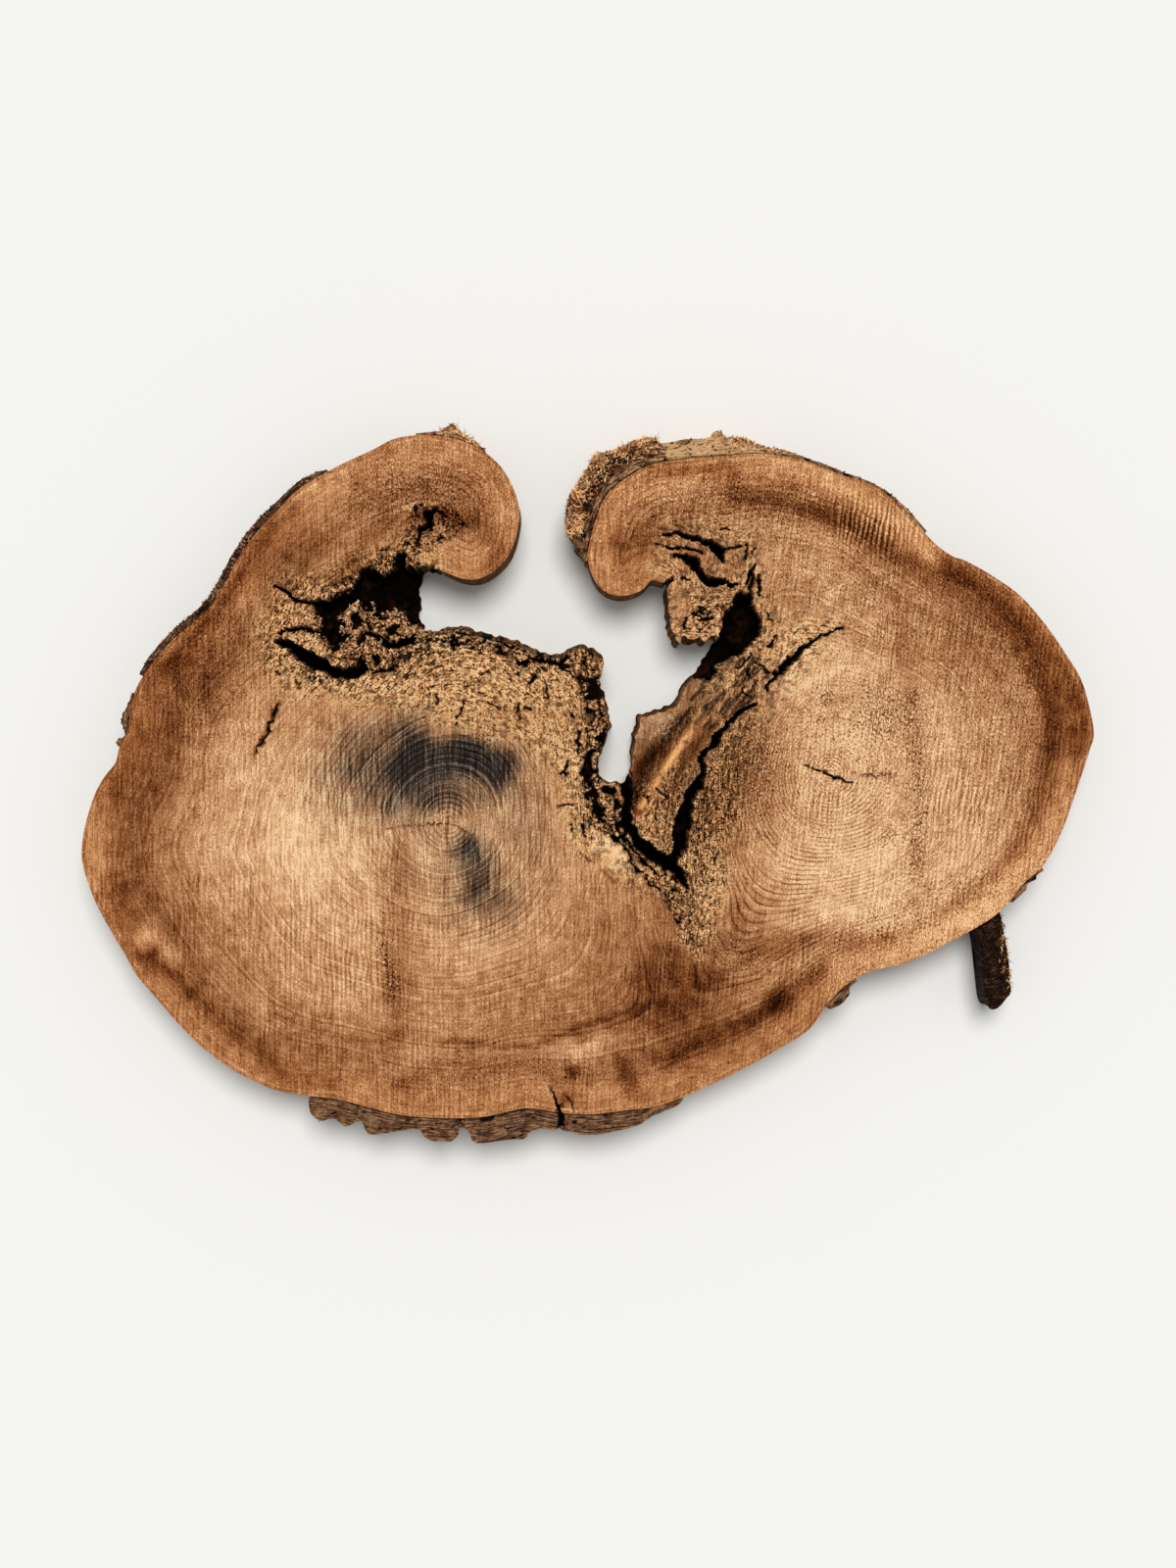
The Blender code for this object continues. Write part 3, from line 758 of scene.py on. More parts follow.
@dataclass(frozen=True)
class FaceRelief:
    """How far rot, cracks and pockets lie below the sawn face, and how much painted shade darkens
    them.
    """

    outline: SliceOutline
    grain: LatticeNoise = LatticeNoise(11)
    ragged: float = 2.3

    def warped(self, places: Array) -> Array:
        """Shift places a little, so that rims come out ragged."""
        coarse = self.grain.shifts(places, 7.0) * self.ragged
        return places + coarse + LatticeNoise(17).shifts(places, 2.8) * self.ragged * 0.6

    def tongue_slope(self, places: Array) -> Array:
        """Work out the slope between the tongue's crest and the gap.

        Args:
            places: Points in plan.

        Returns:
            How far the slope lies below the sawn face at each place.
        """
        crest = np.array(TONGUE_CREST, float)
        foot = self.outline.part_of(RIGHT_WALL)
        near = inside(places, np.vstack([crest, foot]))
        near |= path_distance(places, foot)[0] < 0.3
        depth = np.zeros(len(places))
        if near.any():
            to_crest, _ = path_distance(places[near], crest)
            to_foot, _ = path_distance(places[near], foot)
            share = to_crest / np.maximum(to_crest + to_foot, TINY)
            depth[near] = TONGUE_DROP * share**1.15 * self.grain.uneven(places[near], 9.0, 0.22)
        return depth

    def sample(self, places: Array) -> tuple[Array, Array]:
        """Work out the relief.

        Args:
            places: Points in plan.

        Returns:
            The depth below the face in millimetres, and how dark the painted shade in
            its pockets, cracks and pits is, from 0 to 1.
        """
        shifted = self.warped(places)
        cut = np.zeros(len(places))
        for hollow in HOLLOWS:
            cut = np.maximum(cut, hollow.depth_at(shifted))
        for crack in CRACKS + SLOTS:
            cut = np.maximum(cut, crack.depth_at(shifted))
        cut *= self.grain.uneven(places, 12.0, 0.18)
        # Painted shade: pockets and cracks are painted darker the deeper they go
        black = smooth((cut - 0.5) / 7.0)
        for patch in ROT_PATCHES:
            eaten, shade = patch.depth_at(places, self.grain)
            cut, black = np.maximum(cut, eaten), np.maximum(black, shade)
        return np.minimum(cut + self.tongue_slope(places), THICKNESS - 6.0), black


@dataclass(frozen=True)
class TonePatch:
    """A soft oval patch that is lighter or darker than the wood round it."""

    centre: Place
    radii: Place
    amount: float
    turn: float = 0.0

    def weight(self, places: Array) -> Array:
        """Weigh places by how near they lie to the patch's middle."""
        away = turned(places - self.centre, self.turn) / np.array(self.radii)
        return np.exp(-(away**2).sum(1))


@dataclass(frozen=True)
class ToneBand:
    """A soft band along a line that is lighter or darker than the wood round it."""

    path: Path
    width: float
    amount: float

    def weight(self, places: Array) -> Array:
        """Weigh places by how near they lie to the band's middle."""
        distance, _ = path_distance(places, open_spline(self.path, 12.0))
        return np.exp(-(distance / self.width) ** 2)


Marks = tuple[TonePatch | ToneBand, ...]


def patches(*rows: tuple[float, ...]) -> Marks:
    """Make patches from rows of x, y, two radii, an amount and a turn if there is one."""
    return tuple(TonePatch(row[:2], row[2:4], *row[4:]) for row in rows)


def bands(*rows: tuple[float, ...]) -> Marks:
    """Make bands from rows of a width, an amount and then x and y for each point."""
    return tuple(ToneBand(pairs(*path), width, amount) for width, amount, *path in rows)


def weigh(marks: Marks, places: Array) -> Array:
    """Add up the amounts of patches and bands at each place."""
    return sum((mark.amount * mark.weight(places) for mark in marks), np.zeros(len(places)))


TONES = patches(
    (-215, -70, 175, 130, 0.13), (-310, -50, 80, 60, 0.14), (290, 24, 150, 150, 0.16),
    (240, 80, 60, 50, 0.06), (250, -80, 90, 50, 0.16), (90, -156, 38, 90, -0.13, 0.2),
    (-455, 50, 60, 110, -0.16), (-430, -160, 60, 70, -0.06, 0.7), (-380, 160, 50, 60, -0.1),
    (230, 114, 40, 12, 0.08, 0.3), (330, -128, 120, 42, 0.2, 0.4), (420, -40, 60, 60, 0.08),
    (170, 40, 30, 90, -0.2), (135, -20, 26, 60, -0.24, -0.2), (84, -206, 50, 55, -0.3),
    (20, -140, 20, 50, -0.1), (150, -150, 30, 26, -0.16), (-60, -215, 120, 34, -0.08),
    (-10, -270, 60, 16, 0.1), (200, -255, 70, 30, -0.04, 0.4), (-448, -150, 13, 14, 0.26),
    (-444, -167, 6, 6, -0.4), (-425, -170, 10, 8, 0.14), (-482, -105, 12, 16, -0.22),
    (-408, -140, 12, 14, -0.18), (-482, 0, 14, 16, -0.16), (-500, -60, 12, 34, 0.12),
    (480, 54, 30, 70, -0.11), (-305, 238, 60, 44, -0.09), (-470, -70, 30, 70, -0.04),
    (390, -132, 44, 12, 0.1, 0.4), (-345, 59, 45, 60, 0.05), (125, -20, 28, 70, -0.12, -0.2),
    (76, -10, 26, 60, -0.12, -0.3), (118, 180, 26, 34, -0.1), (-385, 98, 12, 28, -0.22),
    (-418, 122, 16, 14, -0.2), (-170, -265, 24, 10, 0.2), (-10, -256, 10, 10, -0.26),
    (40, -295, 10, 22, -0.34, 0.35), (194, -218, 14, 13, -0.36), (250, 88, 26, 14, -0.1),
    (385, 218, 14, 12, -0.14), (90, -208, 16, 7, 0.18), (-130, 240, 34, 24, 0.04),
    (-150, 268, 34, 10, 0.12), (120, 176, 30, 30, 0.1), (118, 58, 12, 40, -0.12, -0.6),
    # (30, -62): painted highlight on the slope below the V that faces the light
    (30, -62, 16, 22, 0.2, -0.5), (64, 6, 18, 44, -0.14, -0.5), (166, -236, 22, 9, -0.1, 0.5),
    (-388, -214, 14, 12, 0.12), (-334, -250, 14, 10, 0.12), (82, -264, 16, 12, 0.14),
    (217, 294, 20, 8, 0.1), (318, 232, 16, 8, 0.1), (80, -146, 20, 16, 0.1),
    (400, -86, 20, 16, 0.08), (338, -146, 22, 18, 0.16), (-427, -162, 10, 10, 0.1),
    (-338, 182, 14, 20, 0.12), (0, -267, 20, 8, 0.24), (320, 94, 30, 26, -0.08),
    (-320, 34, 50, 30, 0.06), (-80, -20, 26, 24, 0.07), (-84, 276, 18, 16, 0.1),
    (-160, 334, 40, 16, 0.07), (164, -30, 14, 30, 0.08), (158, 10, 24, 90, -0.07),
    (104, 70, 12, 44, -0.16, -0.6), (110, -150, 22, 30, 0.08), (-15, -290, 7, 6, -0.34),
    (-24, -317, 11, 5, -0.26), (-197, -285, 16, 11, 0.12), (395, 144, 40, 40, -0.12),
    (-465, -136, 24, 34, -0.1), (-270, 294, 30, 26, 0.12), (250, -126, 50, 30, 0.08),
    (-225, -200, 90, 50, 0.05), (-95, -186, 60, 40, 0.05), (220, 254, 40, 30, 0.06),
    # (30, -68): more painted highlight on the same slope
    (78, 300, 40, 14, 0.16), (40, 249, 18, 14, -0.16), (30, -68, 14, 20, 0.16, -0.6),
    (88, -276, 17, 8, -0.08, 0.3), (-190, -302, 16, 7, -0.14),
) + bands(
    (17.0, -0.17, -190, -60, -194, -130, -194, -246),
    (6.0, -0.14, -208, -146, -205, -180, -198, -214),
    (11.0, -0.2, 150, 302, 200, 294, 236, 282, 276, 264, 318, 234, 352, 220, 388, 202, 424, 174,
     452, 138, 470, 90, 474, 40, 460, -14, 436, -62, 410, -90, 376, -116, 334, -148, 280, -156,
     220, -156, 170, -168),
    (7.0, -0.1, 170, -168, 150, -182, 120, -198),
    (9.0, -0.18, 240, -186, 206, -212, 160, -244, 122, -260, 76, -276),
    (11.0, -0.2, -400, -212, -375, -238, -348, -256, -322, -282),
    (12.0, -0.24, 500, 40, 501, 76, 484, 118, 450, 163, 412, 199, 368, 225),
    (9.0, -0.18, -300, 284, -322, 264, -362, 206, -404, 151, -436, 116),
    (2.2, -0.3, -316, 88, -324, 70, -332, 53, -340, 34),
    (9.0, -0.18, -312, -292, -291, -296, -262, -302),
    (8.0, 0.14, 190, 332, 214, 327, 276, 298, 328, 260, 346, 240),
    (6.0, -0.26, -455, -172, -430, -186, -405, -212),
    (3.0, -0.2, -320, -230, -262, -252, -184, -262, -128, -258, -90, -264, -60, -264, -28, -252,
     0, -240, 40, -230, 84, -214),
    (9.0, -0.18, -250, 214, -215, 262, -160, 278, -110, 266, -92, 240, -102, 222),
    (8.0, -0.07, 40, 222, 60, 250, 100, 266, 150, 268),
    (10.0, -0.12, 318, 190, 330, 94, 336, 20, 338, -60, 334, -130),
    # Painted highlight along the tongue's crest, and painted shade on its slope down to the gap
    (3.6, 0.5, 116, 76, 100, 52, 84, 28, 66, 0, 54, -20),
    (8.5, -0.44, 96, 70, 80, 50, 62, 30, 50, 6, 44, -20),
    (8.0, -0.16, 128, 66, 112, 40, 96, 12, 80, -16),
    (2.2, 0.12, 196, 128, 232, 182, 268, 212, 326, 224, 380, 204, 424, 168),
    (1.8, 0.07, 204, 112, 244, 164, 290, 186, 350, 180, 400, 140),
    (2.4, 0.1, 26, 214, 12, 244, 30, 284, 80, 306, 150, 312, 220, 300),
    (2.0, 0.08, 46, 226, 40, 256, 66, 280, 120, 290, 190, 286),
    (4.0, 0.14, 201, 98, 228, 108, 256, 122), (6.0, -0.12, 60, 328, 100, 326, 150, 322),
    (3.0, -0.08, 28, 280, 60, 288, 110, 290),
)
INKS = patches(
    (-166, 22, 120, 66, 0.33), (-136, 27, 62, 26, 0.58), (-116, 28, 40, 19, 0.52),
    (-176, 34, 22, 24, 0.22), (-92, 10, 16, 26, 0.38), (-180, 66, 18, 32, 0.44),
    (-186, 22, 20, 22, 0.24), (-236, 30, 42, 36, 0.28), (-224, 62, 34, 18, 0.18),
    (-262, 10, 28, 44, 0.16), (-208, -8, 36, 28, 0.27), (-196, -26, 34, 20, 0.08),
    (-78, -84, 24, 24, -0.14), (-162, -12, 42, 22, 0.38), (-122, -62, 15, 16, 0.56),
    (-112, -96, 22, 32, 0.46), (-88, -128, 30, 26, 0.22), (-120, -82, 96, 58, 0.33),
    (-66, -50, 30, 60, 0.14), (-142, -38, 22, 14, -0.24),
)
# Where dark pores stand close together, and where the saw left a ladder of deep marks
PORE_CLUSTERS = patches(
    (296, 74, 26, 26, 0.7), (242, 94, 10, 8, 0.8), (170, 30, 20, 46, 0.7), (312, -52, 14, 12, 0.7),
    (-208, -166, 8, 18, 0.9), (-199, -203, 7, 18, 0.8), (150, -170, 24, 20, 0.5),
    (420, 60, 60, 140, 0.36), (250, 30, 110, 110, 0.38), (280, 200, 120, 60, 0.36),
    (-170, 300, 80, 50, 0.55), (150, 290, 130, 50, 0.5), (330, -140, 130, 34, 0.45, 0.4),
    (-390, 150, 60, 120, 0.3), (-60, -290, 160, 30, 0.2),
) + bands(
    (9.0, 0.7, 330, 92, 336, 30, 336, -30, 334, -90),
)
LADDERS = patches(
    (288, 268, 38, 24, 1.0, -0.3), (240, -14, 22, 22, 0.5), (-260, -170, 60, 50, 0.25),
    (400, -20, 70, 120, 0.22),
)
# Where the growth rings show up as clear dark lines
CLEAR_RINGS = patches(
    (215, -60, 95, 85, 1.0), (247, 14, 50, 50, 0.7), (-142, 60, 80, 30, 0.5),
    (-142, -36, 45, 40, 0.25), (-60, -170, 180, 60, 0.2), (150, -200, 70, 40, 0.2),
    (190, -110, 90, 60, 0.25), (40, 262, 50, 60, 0.35), (180, 300, 120, 36, 0.15),
    (-110, 285, 56, 50, 0.4), (-190, 300, 70, 40, 0.2),
)
# Where the two trunks grew together, which the rings of both follow
CROTCH = pairs(120, 96, 104, 30, 92, -40, 88, -96, 80, -140, 84, -186)
EDGE_PROFILE = (
    (0, 0.57), (6, 0.61), (20, 0.60), (34, 0.52), (50, 0.48), (75, 0.55), (115, 0.61), (400, 0.64),
)
# The tongue's crest, along which a painted highlight runs
CREST_HIGHLIGHT_LINE = pairs(116, 74, 100, 52, 84, 28, 66, 0, 52, -24)
# Painted highlights on the lit tops of crumbs and on slopes that face the light
PAINTED_HIGHLIGHT_SPOTS = patches(
    (30, -60, 22, 18, 0.8, -0.5), (-200, 178, 28, 8, 0.8), (76, 68, 18, 12, 1.0, 0.7),
    (-128, 152, 50, 7, 0.6, 0.1),
)
# Where the rot has left the most black dashes
EATEN = patches(
    (92, -30, 20, 40, 0.5),
) + bands(
    (12.0, 0.9, -300, 206, -270, 206, -240, 222, -205, 236),
    (14.0, 0.8, -320, 140, -290, 122, -250, 102, -200, 108, -160, 136),
    (13.0, 0.9, -160, 150, -110, 144, -66, 128, -30, 120, 4, 106),
    (12.0, 0.9, 2, 100, 4, 50, 0, 10, 6, -30), (14.0, 0.7, 60, -96, 96, -130, 112, -156),
    (16.0, 0.8, 110, -90, 112, -40, 132, 20, 150, 60),
    (12.0, 0.6, 84, 200, 110, 170, 130, 190, 160, 230),
)
# Smooth, sound wood between the rotten parts
SOUND_WOOD = patches(
    (118, 240, 52, 24, 0.75), (190, 210, 22, 50, 0.8), (200, 100, 24, 20, 0.5),
    (112, 46, 15, 40, 1.0, -0.57), (74, 36, 12, 40, 0.9, -0.57), (24, -100, 42, 15, 0.9, -0.6),
    (26, -68, 11, 16, 0.8, -0.6), (94, 188, 9, 24, 0.8), (140, 222, 14, 8, 0.5),
    (165, 190, 8, 30, 0.5), (-250, 226, 40, 14, 0.5, 0.4), (-60, 70, 90, 18, 0.35),
    (184, 30, 24, 80, 0.7),
)


@dataclass(frozen=True)
class WoodFigure:
    """The growth rings, tones, stains and painted highlights of the wood, as numbers for its
    finish.
    """

    outline: SliceOutline
    merge: float = 22.0
    rim_height: float = 205.0
    crotch_width: float = 16.0
    crotch_foot: float = -110.0

    def reach(self, places: Array, *stretches: EdgeStretch) -> Array:
        """Measure how far places lie from stretches of the edge."""
        return path_distance(places, self.outline.part_of(*stretches)[::2])[0]

    def rings(self, places: Array) -> Array:
        """Work out the growth rings.

        Args:
            places: Points in plan.

        Returns:
            How far each place has grown, from 0 at a pith to 1 at the bark.
        """
        spans = [np.hypot(*(places - pith).T) for pith in (LEFT_PITH, RIGHT_PITH)]
        nearest = np.minimum(*spans)
        both = sum(np.exp((nearest - span) / self.merge) for span in spans)
        grown = np.maximum(nearest - self.merge * np.log(both), 0.0)
        bark = self.reach(places, RIGHT_EDGE, LOWER_EDGE, LEFT_EDGE)
        below = 4.0 * np.maximum(0.0, self.rim_height - places[:, 1])
        for curl in (LEFT_CURL, RIGHT_CURL):
            bark = np.minimum(bark, self.reach(places, curl) + below)
        crotch, _ = path_distance(places, open_spline(CROTCH, 6.0))
        below = np.maximum(0.0, self.crotch_foot - places[:, 1])
        crotch = 1.3 * crotch + self.crotch_width + 0.5 * below
        bark = ((bark + 1.0) ** -3.0 + crotch ** -3.0) ** (-1.0 / 3.0)
        return grown / np.maximum(grown + bark, TINY)

    def edges(self, places: Array) -> Array:
        """Measure how far each place lies from the outer edge."""
        return path_distance(places, self.outline.front[~self.outline.rotten][::2])[0]

    def tones(self, places: Array, edges: Array) -> Array:
        """Work out how light the wood is.

        Args:
            places: Points in plan.
            edges: How far each of them lies from the outer edge.

        Returns:
            The tone at each place, from 0 to 1.
        """
        wander = LatticeNoise(31).uneven(places, 60.0, 0.3)
        tone = np.interp(edges * wander, *np.array(EDGE_PROFILE).T) + weigh(TONES, places)
        return tone + 0.03 * LatticeNoise(33).layered(places, 34.0)

    def ink(self, places: Array) -> Array:
        """Return how dark the blue-black stain is at each place, from 0 to 1.2."""
        stain = weigh(INKS, places + 4.0 * LatticeNoise(35).shifts(places, 22.0))
        return np.clip(stain * LatticeNoise(37).uneven(places, 14.0, 0.2), 0.0, 1.2)

    def spread(self, places: Array, marks: Marks) -> Array:
        """Return how strongly a set of marks shows at each place, from 0 to 1."""
        return np.clip(weigh(marks, places) * LatticeNoise(43).uneven(places, 9.0, 0.6), 0.0, 1.0)

    def grown(self, places: Array) -> Array:
        """Return how clearly the growth rings show at each place, from 0 to 1."""
        shown = 0.15 + weigh(CLEAR_RINGS, places)
        return np.clip(shown * LatticeNoise(41).uneven(places, 40.0, 0.5), 0.0, 1.0)

    def rot(self, places: Array) -> Array:
        """Work out how rotten the wood is.

        Args:
            places: Points in plan.

        Returns:
            A value from 0 to 1 for each place.
        """
        bent = places + 9.0 * LatticeNoise(39).shifts(places, 14.0)
        rotten = np.maximum(patch_mask(bent, ROT_LEFT, 44.0), patch_mask(bent, ROT_RIGHT, 30.0))
        sound = np.maximum(weigh(SOUND_WOOD, places), 0.9 * self.crest(places))
        return rotten * (1.0 - np.clip(sound, 0.0, 0.95))

    def gold(self, places: Array, edges: Array) -> Array:
        """Return how golden the wood is at each place, from 0 to 1: a golden tint on the sapwood
        and the rot, and a painted highlight along the tongue's crest.
        """
        rotten, sapwood = patch_mask(places, ROT_LEFT, 30.0), smooth((46.0 - edges) / 30.0)
        return np.maximum.reduce([self.crest(places), 0.5 * rotten, 0.4 * sapwood])

    def crest(self, places: Array) -> Array:
        """Return how near each place lies to the smooth crest of the tongue, along which a painted
        highlight runs.
        """
        distance, _ = path_distance(places, np.array(CREST_HIGHLIGHT_LINE, float))
        return smooth((7.0 - distance) / 4.0)

    def painted_highlight(self, places: Array) -> Array:
        """Return how strong the painted highlight on lit crumbs and slopes is at each place, from
        0 to 1.
        """
        return np.clip(weigh(PAINTED_HIGHLIGHT_SPOTS, places), 0.0, 1.0)


def hex_grid(low: Array, high: Array, step: float, seed: int) -> Array:
    """Scatter points evenly over a rectangle.

    Args:
        low: Lowest corner.
        high: Highest corner.
        step: Distance between neighbours.
        seed: Number that fixes the scatter.

    Returns:
        The points, one row each.
    """
    rise = step * 0.866
    columns = np.arange(low[0], high[0], step)
    rows = np.arange(low[1], high[1], rise)
    x, y = np.meshgrid(columns, rows)
    x = x + (np.arange(len(rows)) % 2)[:, None] * step / 2.0
    points = np.column_stack([x.ravel(), y.ravel()])
    return points + 0.22 * step * LatticeNoise(seed).shifts(points, step)


def away_from(points: Array, others: Array, gap: float) -> Array:
    """Thin out points that lie close to others.

    Args:
        points: Points in plan.
        others: The points that they stay away from.
        gap: Smallest distance between the two.

    Returns:
        The points that are kept.
    """
    tree = kdtree.KDTree(len(others))
    for i, (x, y) in enumerate(others):
        tree.insert((x, y, 0.0), i)
    tree.balance()
    reach = np.array([tree.find((x, y, 0.0))[2] for x, y in points])
    return points[reach > gap]


def flat_triangles(loop: Array, inner: Array) -> tuple[Array, Array]:
    """Triangulate a flat shape.

    Args:
        loop: Its edge, one row for each point.
        inner: Points inside it.

    Returns:
        The loop's points followed by the inner ones, and the triangles that join them,
        counter-clockwise as seen from above.
    """
    points = np.vstack([loop, inner])
    flat = [Vector(point) for point in points]
    inside_only = 1
    made = delaunay_2d_cdt(flat, [], [list(range(len(loop)))], inside_only, 1e-6)
    origin = np.array([sources[0] for sources in made[3]])
    triangles = origin[np.array(made[2])]
    first, second, third = (points[triangles[:, k]] for k in range(3))
    turn = np.cross(second - first, third - first)
    triangles[turn < 0.0] = triangles[turn < 0.0][:, ::-1]
    return points, triangles


def new_piece(name: str, mesh: Mesh, finish: Material) -> Piece:
    """Link a mesh as a piece of the cookie.

    Args:
        name: The piece's name.
        mesh: Its mesh, in place.
        finish: Its material.

    Returns:
        The new object.
    """
    piece = bpy.data.objects.new(name, mesh)
    bpy.context.scene.collection.objects.link(piece)
    mesh.materials.clear()
    mesh.materials.append(finish)
    return piece


def mesh_from(name: str, corners: Array, faces: list | Array) -> Mesh:
    """Make a mesh.

    Args:
        name: The mesh's name.
        corners: Its corner points in metres, one row each.
        faces: The numbers of each face's corners.

    Returns:
        The new mesh.
    """
    mesh = bpy.data.meshes.new(name)
    mesh.from_pydata(corners.tolist(), [], [list(map(int, face)) for face in faces])
    mesh.update()
    return mesh


def face_outward(mesh: Mesh) -> None:
    """Split the faces of more than four corners, and turn all faces outward.

    Args:
        mesh: The mesh, which is changed.
    """
    build = bmesh.new()
    build.from_mesh(mesh)
    bmesh.ops.triangulate(build, faces=[face for face in build.faces if len(face.verts) > 4])
    bmesh.ops.recalc_face_normals(build, faces=build.faces)
    build.to_mesh(mesh)
    build.free()


def add_values(mesh: Mesh, name: str, values: Array, domain: str = "POINT") -> None:
    """Store one number for each point or face of a mesh under a name."""
    layer = mesh.attributes.new(name, "FLOAT", domain)
    layer.data.foreach_set("value", np.ascontiguousarray(values, np.float32))


def add_flow(mesh: Mesh, flow: Array) -> None:
    """Store the direction in which bits grow at each point of a mesh."""
    layer = mesh.attributes.new("flow", "FLOAT_VECTOR", "POINT")
    layer.data.foreach_set("vector", np.ascontiguousarray(flow, np.float32).ravel())


@dataclass
class WalnutSlab:
    """The slice itself: two lobes, two curled ends and the rotten gap between them."""

    outline: SliceOutline
    relief: FaceRelief
    figure: WoodFigure
    finest_step: float = 1.35
    fine_step: float = 2.0
    middle_step: float = 3.4
    coarse_step: float = 6.5
    back_step: float = 11.0
    wall_levels: int = 16
    rot_bite: float = 5.0
    # How dark the painted shade on the walls of the rotten gap is
    rotten_wall_painted_shade: float = 0.7
    flute: float = 1.3

    def levels_at(self, places: Array) -> Array:
        """Choose how fine the mesh is to be.

        Args:
            places: Points in plan.

        Returns:
            A level for each place, from 0, the coarsest, to 3.
        """
        level = np.zeros(len(places), int)
        for pith, reach in ((LEFT_PITH, 80.0), (RIGHT_PITH, 70.0)):
            level[np.hypot(*(places - pith).T) < reach] = 1
        for zone in (ROT_LEFT, ROT_RIGHT):
            weight = patch_mask(places, zone, 34.0)
            level[weight > 0.02] = 1
            level[weight > 0.32] = 2
        for patch in ROT_PATCHES:
            if patch.kind is not Weathering.PITTED:
                level[patch_mask(places, patch.corners, 3.0) > 0.1] = 3
        return level

    def face_points(self) -> Array:
        """Scatter the points of the sawn face, close together where it is rough.

        Returns:
            The points inside the front loop, one row each.
        """
        loop = self.outline.front
        guides = np.vstack([crack.guides() for crack in CRACKS + SLOTS])
        guides = guides - (self.relief.warped(guides) - guides)
        guides = away_from(guides[inside(guides, loop[::2])], loop, 0.9)
        _, kept = np.unique(np.round(guides / 0.8), axis=0, return_index=True)
        guides = guides[np.sort(kept)]
        groups = [guides]
        steps = (self.coarse_step, self.middle_step, self.fine_step, self.finest_step)
        for level, step in enumerate(steps):
            grid = hex_grid(loop.min(0), loop.max(0), step, 60 + level)
            grid = grid[self.levels_at(grid) == level]
            grid = away_from(grid[inside(grid, loop[::2])], loop, 0.55 * step)
            groups.append(away_from(grid, guides, min(1.05, 0.7 * step)))
        return np.vstack(groups)

    def wall_points(self, tops: Array) -> Array:
        """Place the rings of points down the side walls.

        Args:
            tops: Height of the face at each point of the front loop.

        Returns:
            The points of all rings between the face and the back, in millimetres.
        """
        front, back, outward = self.outline.front, self.outline.back, self.outline.outward()
        run = np.cumsum(np.hypot(*(front - np.roll(front, 1, axis=0)).T))
        rings = []
        for level in range(1, self.wall_levels):
            share = level / self.wall_levels
            height = tops * (1.0 - share)
            plan = front + (back - front) * (1.0 - height / THICKNESS)[:, None]
            solid = np.column_stack([plan, height])
            flutes = LatticeNoise(71).at(np.column_stack([run, height]), (7.0, 60.0))
            flutes += 0.5 * LatticeNoise(72).at(np.column_stack([run, height]), (2.6, 24.0))
            bites = LatticeNoise(73).layered(solid, 11.0, 4)
            ease = min(1.0, 3.0 * share, 3.0 * (1.0 - share) + 0.2)
            push = np.where(
                self.outline.rotten,
                -self.rot_bite * ease * smooth(0.35 + bites),
                -self.flute * ease * np.clip(0.5 + 0.6 * flutes, 0.0, 1.2),
            )
            rings.append(np.column_stack([plan + outward * push[:, None], height]))
        return np.vstack(rings)

    def numbers(self, plan: Array) -> dict[str, Array]:
        """Work out the numbers that the finish reads.

        Args:
            plan: The mesh's points in plan, one row each.

        Returns:
            One number for each point, under each name.
        """
        figure = self.figure
        edges = figure.edges(plan)
        return {
            "ring": figure.rings(plan), "tone": figure.tones(plan, edges),
            "ink": figure.ink(plan), "grown": figure.grown(plan), "rot": figure.rot(plan),
            "eaten": figure.spread(plan, EATEN), "gold": figure.gold(plan, edges),
            "pores": figure.spread(plan, PORE_CLUSTERS),
            "ladder": figure.spread(plan, LADDERS), "painted_highlight": figure.painted_highlight(plan),
        }

    def mesh(self) -> Mesh:
        """Build the slice.

        Returns:
            Its closed mesh with the numbers that its finish reads.
        """
        count = len(self.outline.front)
        face, face_triangles = flat_triangles(self.outline.front, self.face_points())
        depth, black = self.relief.sample(face)
        top = np.column_stack([face, THICKNESS - depth])
        walls = self.wall_points(top[:count, 2])
        foot = self.outline.back
        grid = hex_grid(foot.min(0), foot.max(0), self.back_step, 65)
        grid = away_from(grid[inside(grid, foot[::2])], foot, 5.0)
        back, back_triangles = flat_triangles(foot, grid)
        under = np.column_stack([back, np.zeros(len(back))])
        corners = np.vstack([top, walls, under])
        above = len(top) + len(walls)
        rings = [np.arange(count)]
        rings += [len(top) + np.arange(count) + count * k for k in range(self.wall_levels - 1)]
        rings.append(above + np.arange(count))
        sides = np.vstack([
            np.column_stack([np.roll(lower, -1), lower, upper, np.roll(upper, -1)])
            for upper, lower in zip(rings, rings[1:])
        ])
        faces = face_triangles.tolist() + sides.tolist()
        faces += (back_triangles[:, ::-1] + above).tolist()
        mesh = mesh_from("walnut_slab", self.outline.placed(corners), faces)
        for name, numbers in self.numbers(corners[:, :2]).items():
            add_values(mesh, name, numbers)
        # Painted shade, stored as "dark": the face's pockets, cracks and pits, the walls under
        # them and the walls round the rotten gap
        dark = np.zeros(len(corners))
        dark[:len(top)] = black
        wall_painted_shade = np.maximum(black[:count], self.rotten_wall_painted_shade * self.outline.rotten)
        dark[len(top):above] = np.tile(wall_painted_shade, self.wall_levels - 1)
        add_values(mesh, "dark", dark)
        on_side = np.zeros(len(faces))
        on_side[len(face_triangles):len(face_triangles) + len(sides)] = 1.0
        add_values(mesh, "side", on_side, "FACE")
        mesh.shade_smooth()
        mesh.set_sharp_from_angle(angle=0.75)
        return mesh

    def build(self, finish: Material) -> Piece:
        """Make the piece and put it in the place of its solid.

        Args:
            finish: Its material.

        Returns:
            The piece.
        """
        piece = new_piece("walnut_slab", self.mesh(), finish)
        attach(piece, "root")
        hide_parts("wood_slab")
        return piece


